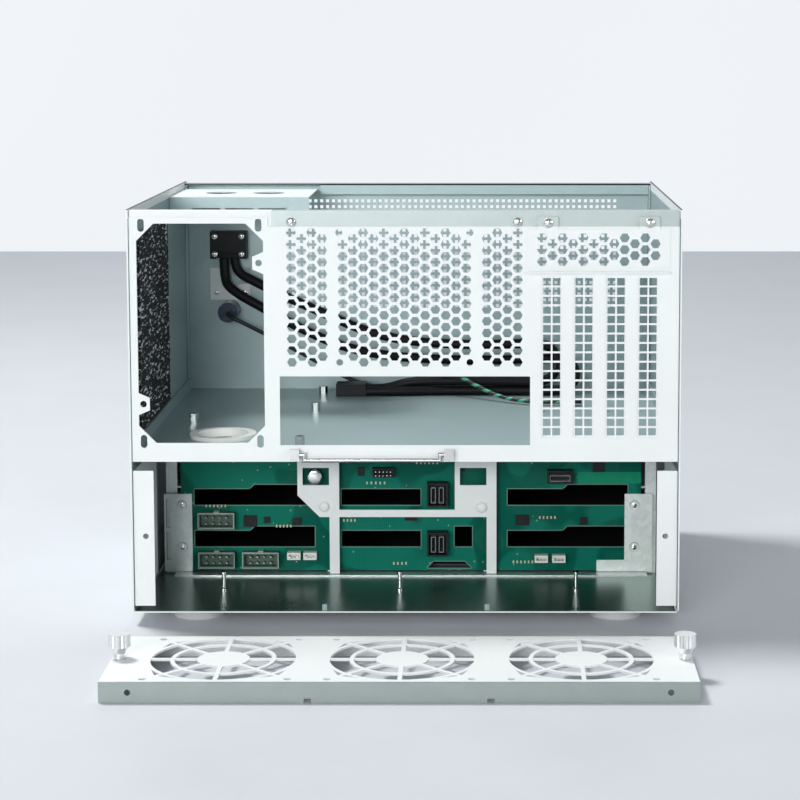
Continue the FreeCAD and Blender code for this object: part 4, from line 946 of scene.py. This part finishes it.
class CASE_OT_board_parts(bpy.types.Operator):
    """Makes the small parts on the rear face of the backplane."""

    bl_idname = "server_case.board_parts"
    bl_label = "Board parts"

    def execute(self, context):
        face = BOARD_REAR
        can = [(-0.0652, face, 0.0776)]
        radius = [0.0, 0.0053, 0.0053, 0.0050, 0.0050, 0.0046, 0.0040, 0.0]
        height = [0.0, 0.0, 0.0014, 0.0018, 0.0078, 0.0084, 0.0086, 0.0085]
        shape = turned(radius, height, can, REARWARDS, 32)
        add_piece("capacitor_can", shape, "bright_plate", smooth=True)
        sunk = 0.0002
        chips = [
            (-0.110, 0.0455, 0.0045, 0.0040, 0.0011), (-0.0985, 0.0463, 0.0022, 0.0022, 0.0009),
            (-0.078, 0.0452, 0.0030, 0.0026, 0.0010), (-0.034, 0.0800, 0.0022, 0.0030, 0.0009),
            (0.0, 0.0500, 0.0042, 0.0042, 0.0011), (0.034, 0.0830, 0.0030, 0.0030, 0.0010),
            (0.076, 0.0462, 0.0046, 0.0036, 0.0011), (0.118, 0.0455, 0.0026, 0.0026, 0.0009),
            (0.128, 0.0830, 0.0040, 0.0034, 0.0011), (-0.128, 0.0900, 0.0036, 0.0036, 0.0010),
        ]
        corners = [[(x - w, face - t, z - h), (x + w, face + sunk, z + h)] for x, z, w, h, t in chips]
        add_piece("board_chips", boxes(corners), "black_plastic", bevel=0.0002)
        add_piece("board_resistors", self.small_parts(face), "cream_plastic", bevel=0.0001)
        stepped = np.array([
            (-0.14798, 0.0567), (-0.14798, 0.0677), (-0.10998, 0.0677),
            (-0.10698, 0.0707), (-0.06598, 0.0707), (-0.06598, 0.0567),
        ])
        plain = np.array([(-0.0475, 0.0567), (-0.0475, 0.0677), (0.0065, 0.0677), (0.0065, 0.0567)])
        square = np.array([(0.0297, 0.0277), (0.0297, 0.0417), (0.0417, 0.0417), (0.0417, 0.0277)])
        foot = np.array([(0.0110, 0.0128), (0.0153, 0.0171), (0.0367, 0.0171), (0.0410, 0.0128)])
        column = np.array([0.21396, 0.0])
        row = np.array([0.0, -0.029])
        repeated = [stepped, stepped + row, stepped + column, stepped + column + row, plain, plain + row]
        shape = edge_strips(repeated + [square, foot], 0.0006, face - 0.00008, face + sunk)
        add_piece("board_edges", shape, "board_edge")
        return {"FINISHED"}

    @staticmethod
    def small_parts(face):
        """Rows of small parts: each row has a start, a step and a count, and every part is the same block."""
        rows = [
            (-0.140, 0.0560, 0.0026, 6), (-0.092, 0.0420, 0.0024, 5), (-0.046, 0.0460, 0.0025, 4),
            (-0.030, 0.0720, 0.0030, 5), (0.004, 0.0860, 0.0028, 6), (0.060, 0.0880, 0.0026, 8),
            (0.088, 0.0480, 0.0026, 5), (0.116, 0.0905, 0.0030, 4), (-0.012, 0.0160, 0.0028, 4),
            (0.070, 0.0170, 0.0026, 6), (-0.118, 0.0880, 0.0030, 4),
        ]
        x = np.concatenate([start + step * np.arange(count) for start, _, step, count in rows])
        z = np.concatenate([np.full(count, level) for _, level, _, count in rows])
        half = np.array([0.0005, 0.0, 0.0009])
        centre = np.stack([x, np.full_like(x, face), z], -1)
        low = centre - half - np.array([0.0, 0.0006, 0.0])
        high = centre + half + np.array([0.0, 0.0002, 0.0])
        return boxes(np.stack([low, high], 1))


class CASE_OT_socket_parts(bpy.types.Operator):
    """Makes the rims, tongues and pins of the sockets on the backplane."""

    bl_idname = "server_case.socket_parts"
    bl_label = "Socket parts"

    def execute(self, context):
        face = BOARD_REAR
        seat = 0.001
        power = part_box("power_sockets")[0][1]
        rims = frames(POWER_SOCKETS, (0.01245, 0.00545), 0.0006, power - 0.0003, power + 0.0012)
        latch = np.array([(-0.0018, 0.0050), (0.0018, 0.0063)])
        latches = upright_boxes([latch + place for place in POWER_SOCKETS], power + 0.0012, face - seat)
        add_piece("socket_rims", join_parts(rims, latches), "rim_plastic", bevel=0.00015)
        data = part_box("data_sockets")[0][1]
        tongues = [(x + side * 0.0027, z) for x, z in UPRIGHT_SOCKETS for side in (-1, 1)]
        flat = [(FLAT_SOCKET[0], FLAT_SOCKET[1] - 0.0008)]
        shape = join_parts(
            frames(tongues, (0.0017, 0.0054), 0.0005, data - 0.0002, face - seat),
            frames(flat, (0.0070, 0.0021), 0.0005, data + 0.0018, face - seat),
        )
        add_piece("socket_tongues", shape, "grey_plastic", bevel=0.0001)
        fine, pitch = 0.00032, 0.00254
        pins = posts(pin_rows(POWER_SOCKETS, 4, 2, (0.0046, 0.0042)), 0.0006, power + 0.0015, face - seat)
        header = posts(pin_rows([PIN_HEADER], 5, 2, (pitch, pitch)), fine, face - 0.0087, face - 0.005)
        fans = posts(pin_rows(FAN_HEADERS, 3, 1, (pitch, 0.0)), fine, face - 0.0085, face - 0.0055)
        add_piece("header_pins", join_parts(header, fans), "bright_plate")
        add_piece("socket_pins", pins, "dull_pins")
        return {"FINISHED"}


class CASE_OT_stage(bpy.types.Operator):
    """Makes the floor, the backdrop, the lamps, the world and the camera."""

    bl_idname = "server_case.stage"
    bl_label = "Studio"

    def execute(self, context):
        scene = context.scene
        scene.view_settings.view_transform = "Standard"
        self.surround(scene.case_colours)
        self.lamps(scene)
        self.world(scene)
        self.camera(scene, scene.case_sizes.camera_lens)
        return {"FINISHED"}

    @staticmethod
    def surround(colours):
        """A flat floor, and a wall behind it."""
        half, depth, tall = 6.0, 2.4, 4.0
        ground = [(-half, -half, 0.0), (half, -half, 0.0), (half, depth, 0.0), (-half, depth, 0.0)]
        upright = [(-half, depth, 0.0), (half, depth, 0.0), (half, depth, tall), (-half, depth, tall)]
        one_face = [(0, 1, 2, 3)]
        stone_floor("floor_stone", colours.floor)
        plain_wall("wall_paint", colours.wall)
        floor = add_piece("studio_floor", (ground, one_face), "floor_stone", None)
        back = add_piece("studio_wall", (upright, one_face), "wall_paint", None)

    @staticmethod
    def lamps(scene):
        """Three soft lamps: above, low from the front, and a weak one from the right."""
        for name, place, aim, wide, tall, power in (
            ("top_lamp", (-0.85, 0.50, 2.1), (0.0, -0.05, 0.1), 0.55, 0.55, 46.0),
            ("front_lamp", (-1.1, -3.9, 1.0), (0.0, 0.0, 0.12), 2.0, 0.8, 90.0),
            ("right_lamp", (1.9, -2.0, 0.8), (0.0, 0.0, 0.15), 1.2, 0.8, 12.0),
        ):
            data = bpy.data.lights.new(name, "AREA")
            data.shape = "RECTANGLE"
            data.size = wide
            data.size_y = tall
            data.energy = power
            lamp = bpy.data.objects.new(name, data)
            lamp.location = place
            line = np.array(aim) - np.array(place)
            flat = math.hypot(line[0], line[1])
            lamp.rotation_euler = (math.atan2(flat, -line[2]), 0.0, math.atan2(-line[0], line[1]))
            scene.collection.objects.link(lamp)

    @staticmethod
    def world(scene):
        """An even pale surround."""
        world = bpy.data.worlds.new("pale_room")
        world.use_nodes = True
        shade = world.node_tree.nodes["Background"]
        shade.inputs["Color"].default_value = (0.86, 0.92, 0.95, 1.0)
        shade.inputs["Strength"].default_value = 0.34
        scene.world = world

    @staticmethod
    def camera(scene, lens):
        """The camera at the viewing angle of the picture that the case was built from."""
        tilt = 6.14
        data = bpy.data.cameras.new("camera")
        data.lens = lens
        data.sensor_width = 36.0
        data.shift_x = -0.1125
        data.shift_y = -0.16
        data.clip_start = 0.05
        data.clip_end = 50.0
        camera = bpy.data.objects.new("camera", data)
        camera.location = (0.05395, -1.42656, 0.37531)
        camera.rotation_euler = (math.radians(90.0 - tilt), 0.0, 0.0)
        scene.collection.objects.link(camera)
        scene.camera = camera


OPERATORS = (
    CASE_OT_finishes, CASE_OT_cords, CASE_OT_foam, CASE_OT_front_panel,
    CASE_OT_fasteners, CASE_OT_board_parts, CASE_OT_socket_parts, CASE_OT_stage,
)


class CASE_PT_sidebar(bpy.types.Panel):
    """Lists the pieces, their colours and their sizes."""

    bl_idname = "CASE_PT_sidebar"
    bl_label = "Server Case"
    bl_space_type = "VIEW_3D"
    bl_region_type = "UI"
    bl_category = "Server Case"

    def draw(self, context):
        for group in (context.scene.case_colours, context.scene.case_sizes):
            for name in group.__annotations__:
                self.layout.prop(group, name)
        for operator in OPERATORS:
            self.layout.operator(operator.bl_idname)


CLASSES = (CaseColours, CaseSizes) + OPERATORS + (CASE_PT_sidebar,)


def register():
    for kind in CLASSES:
        bpy.utils.register_class(kind)
    bpy.types.Scene.case_colours = bpy.props.PointerProperty(type=CaseColours)
    bpy.types.Scene.case_sizes = bpy.props.PointerProperty(type=CaseSizes)


def unregister():
    del bpy.types.Scene.case_sizes
    del bpy.types.Scene.case_colours
    for kind in reversed(CLASSES):
        bpy.utils.unregister_class(kind)


def main():
    register()
    bpy.ops.server_case.finishes()
    bpy.ops.server_case.cords()
    bpy.ops.server_case.foam()
    bpy.ops.server_case.front_panel()
    bpy.ops.server_case.fasteners()
    bpy.ops.server_case.board_parts()
    bpy.ops.server_case.socket_parts()
    bpy.ops.server_case.stage()


if __name__ == "__main__":
    main()
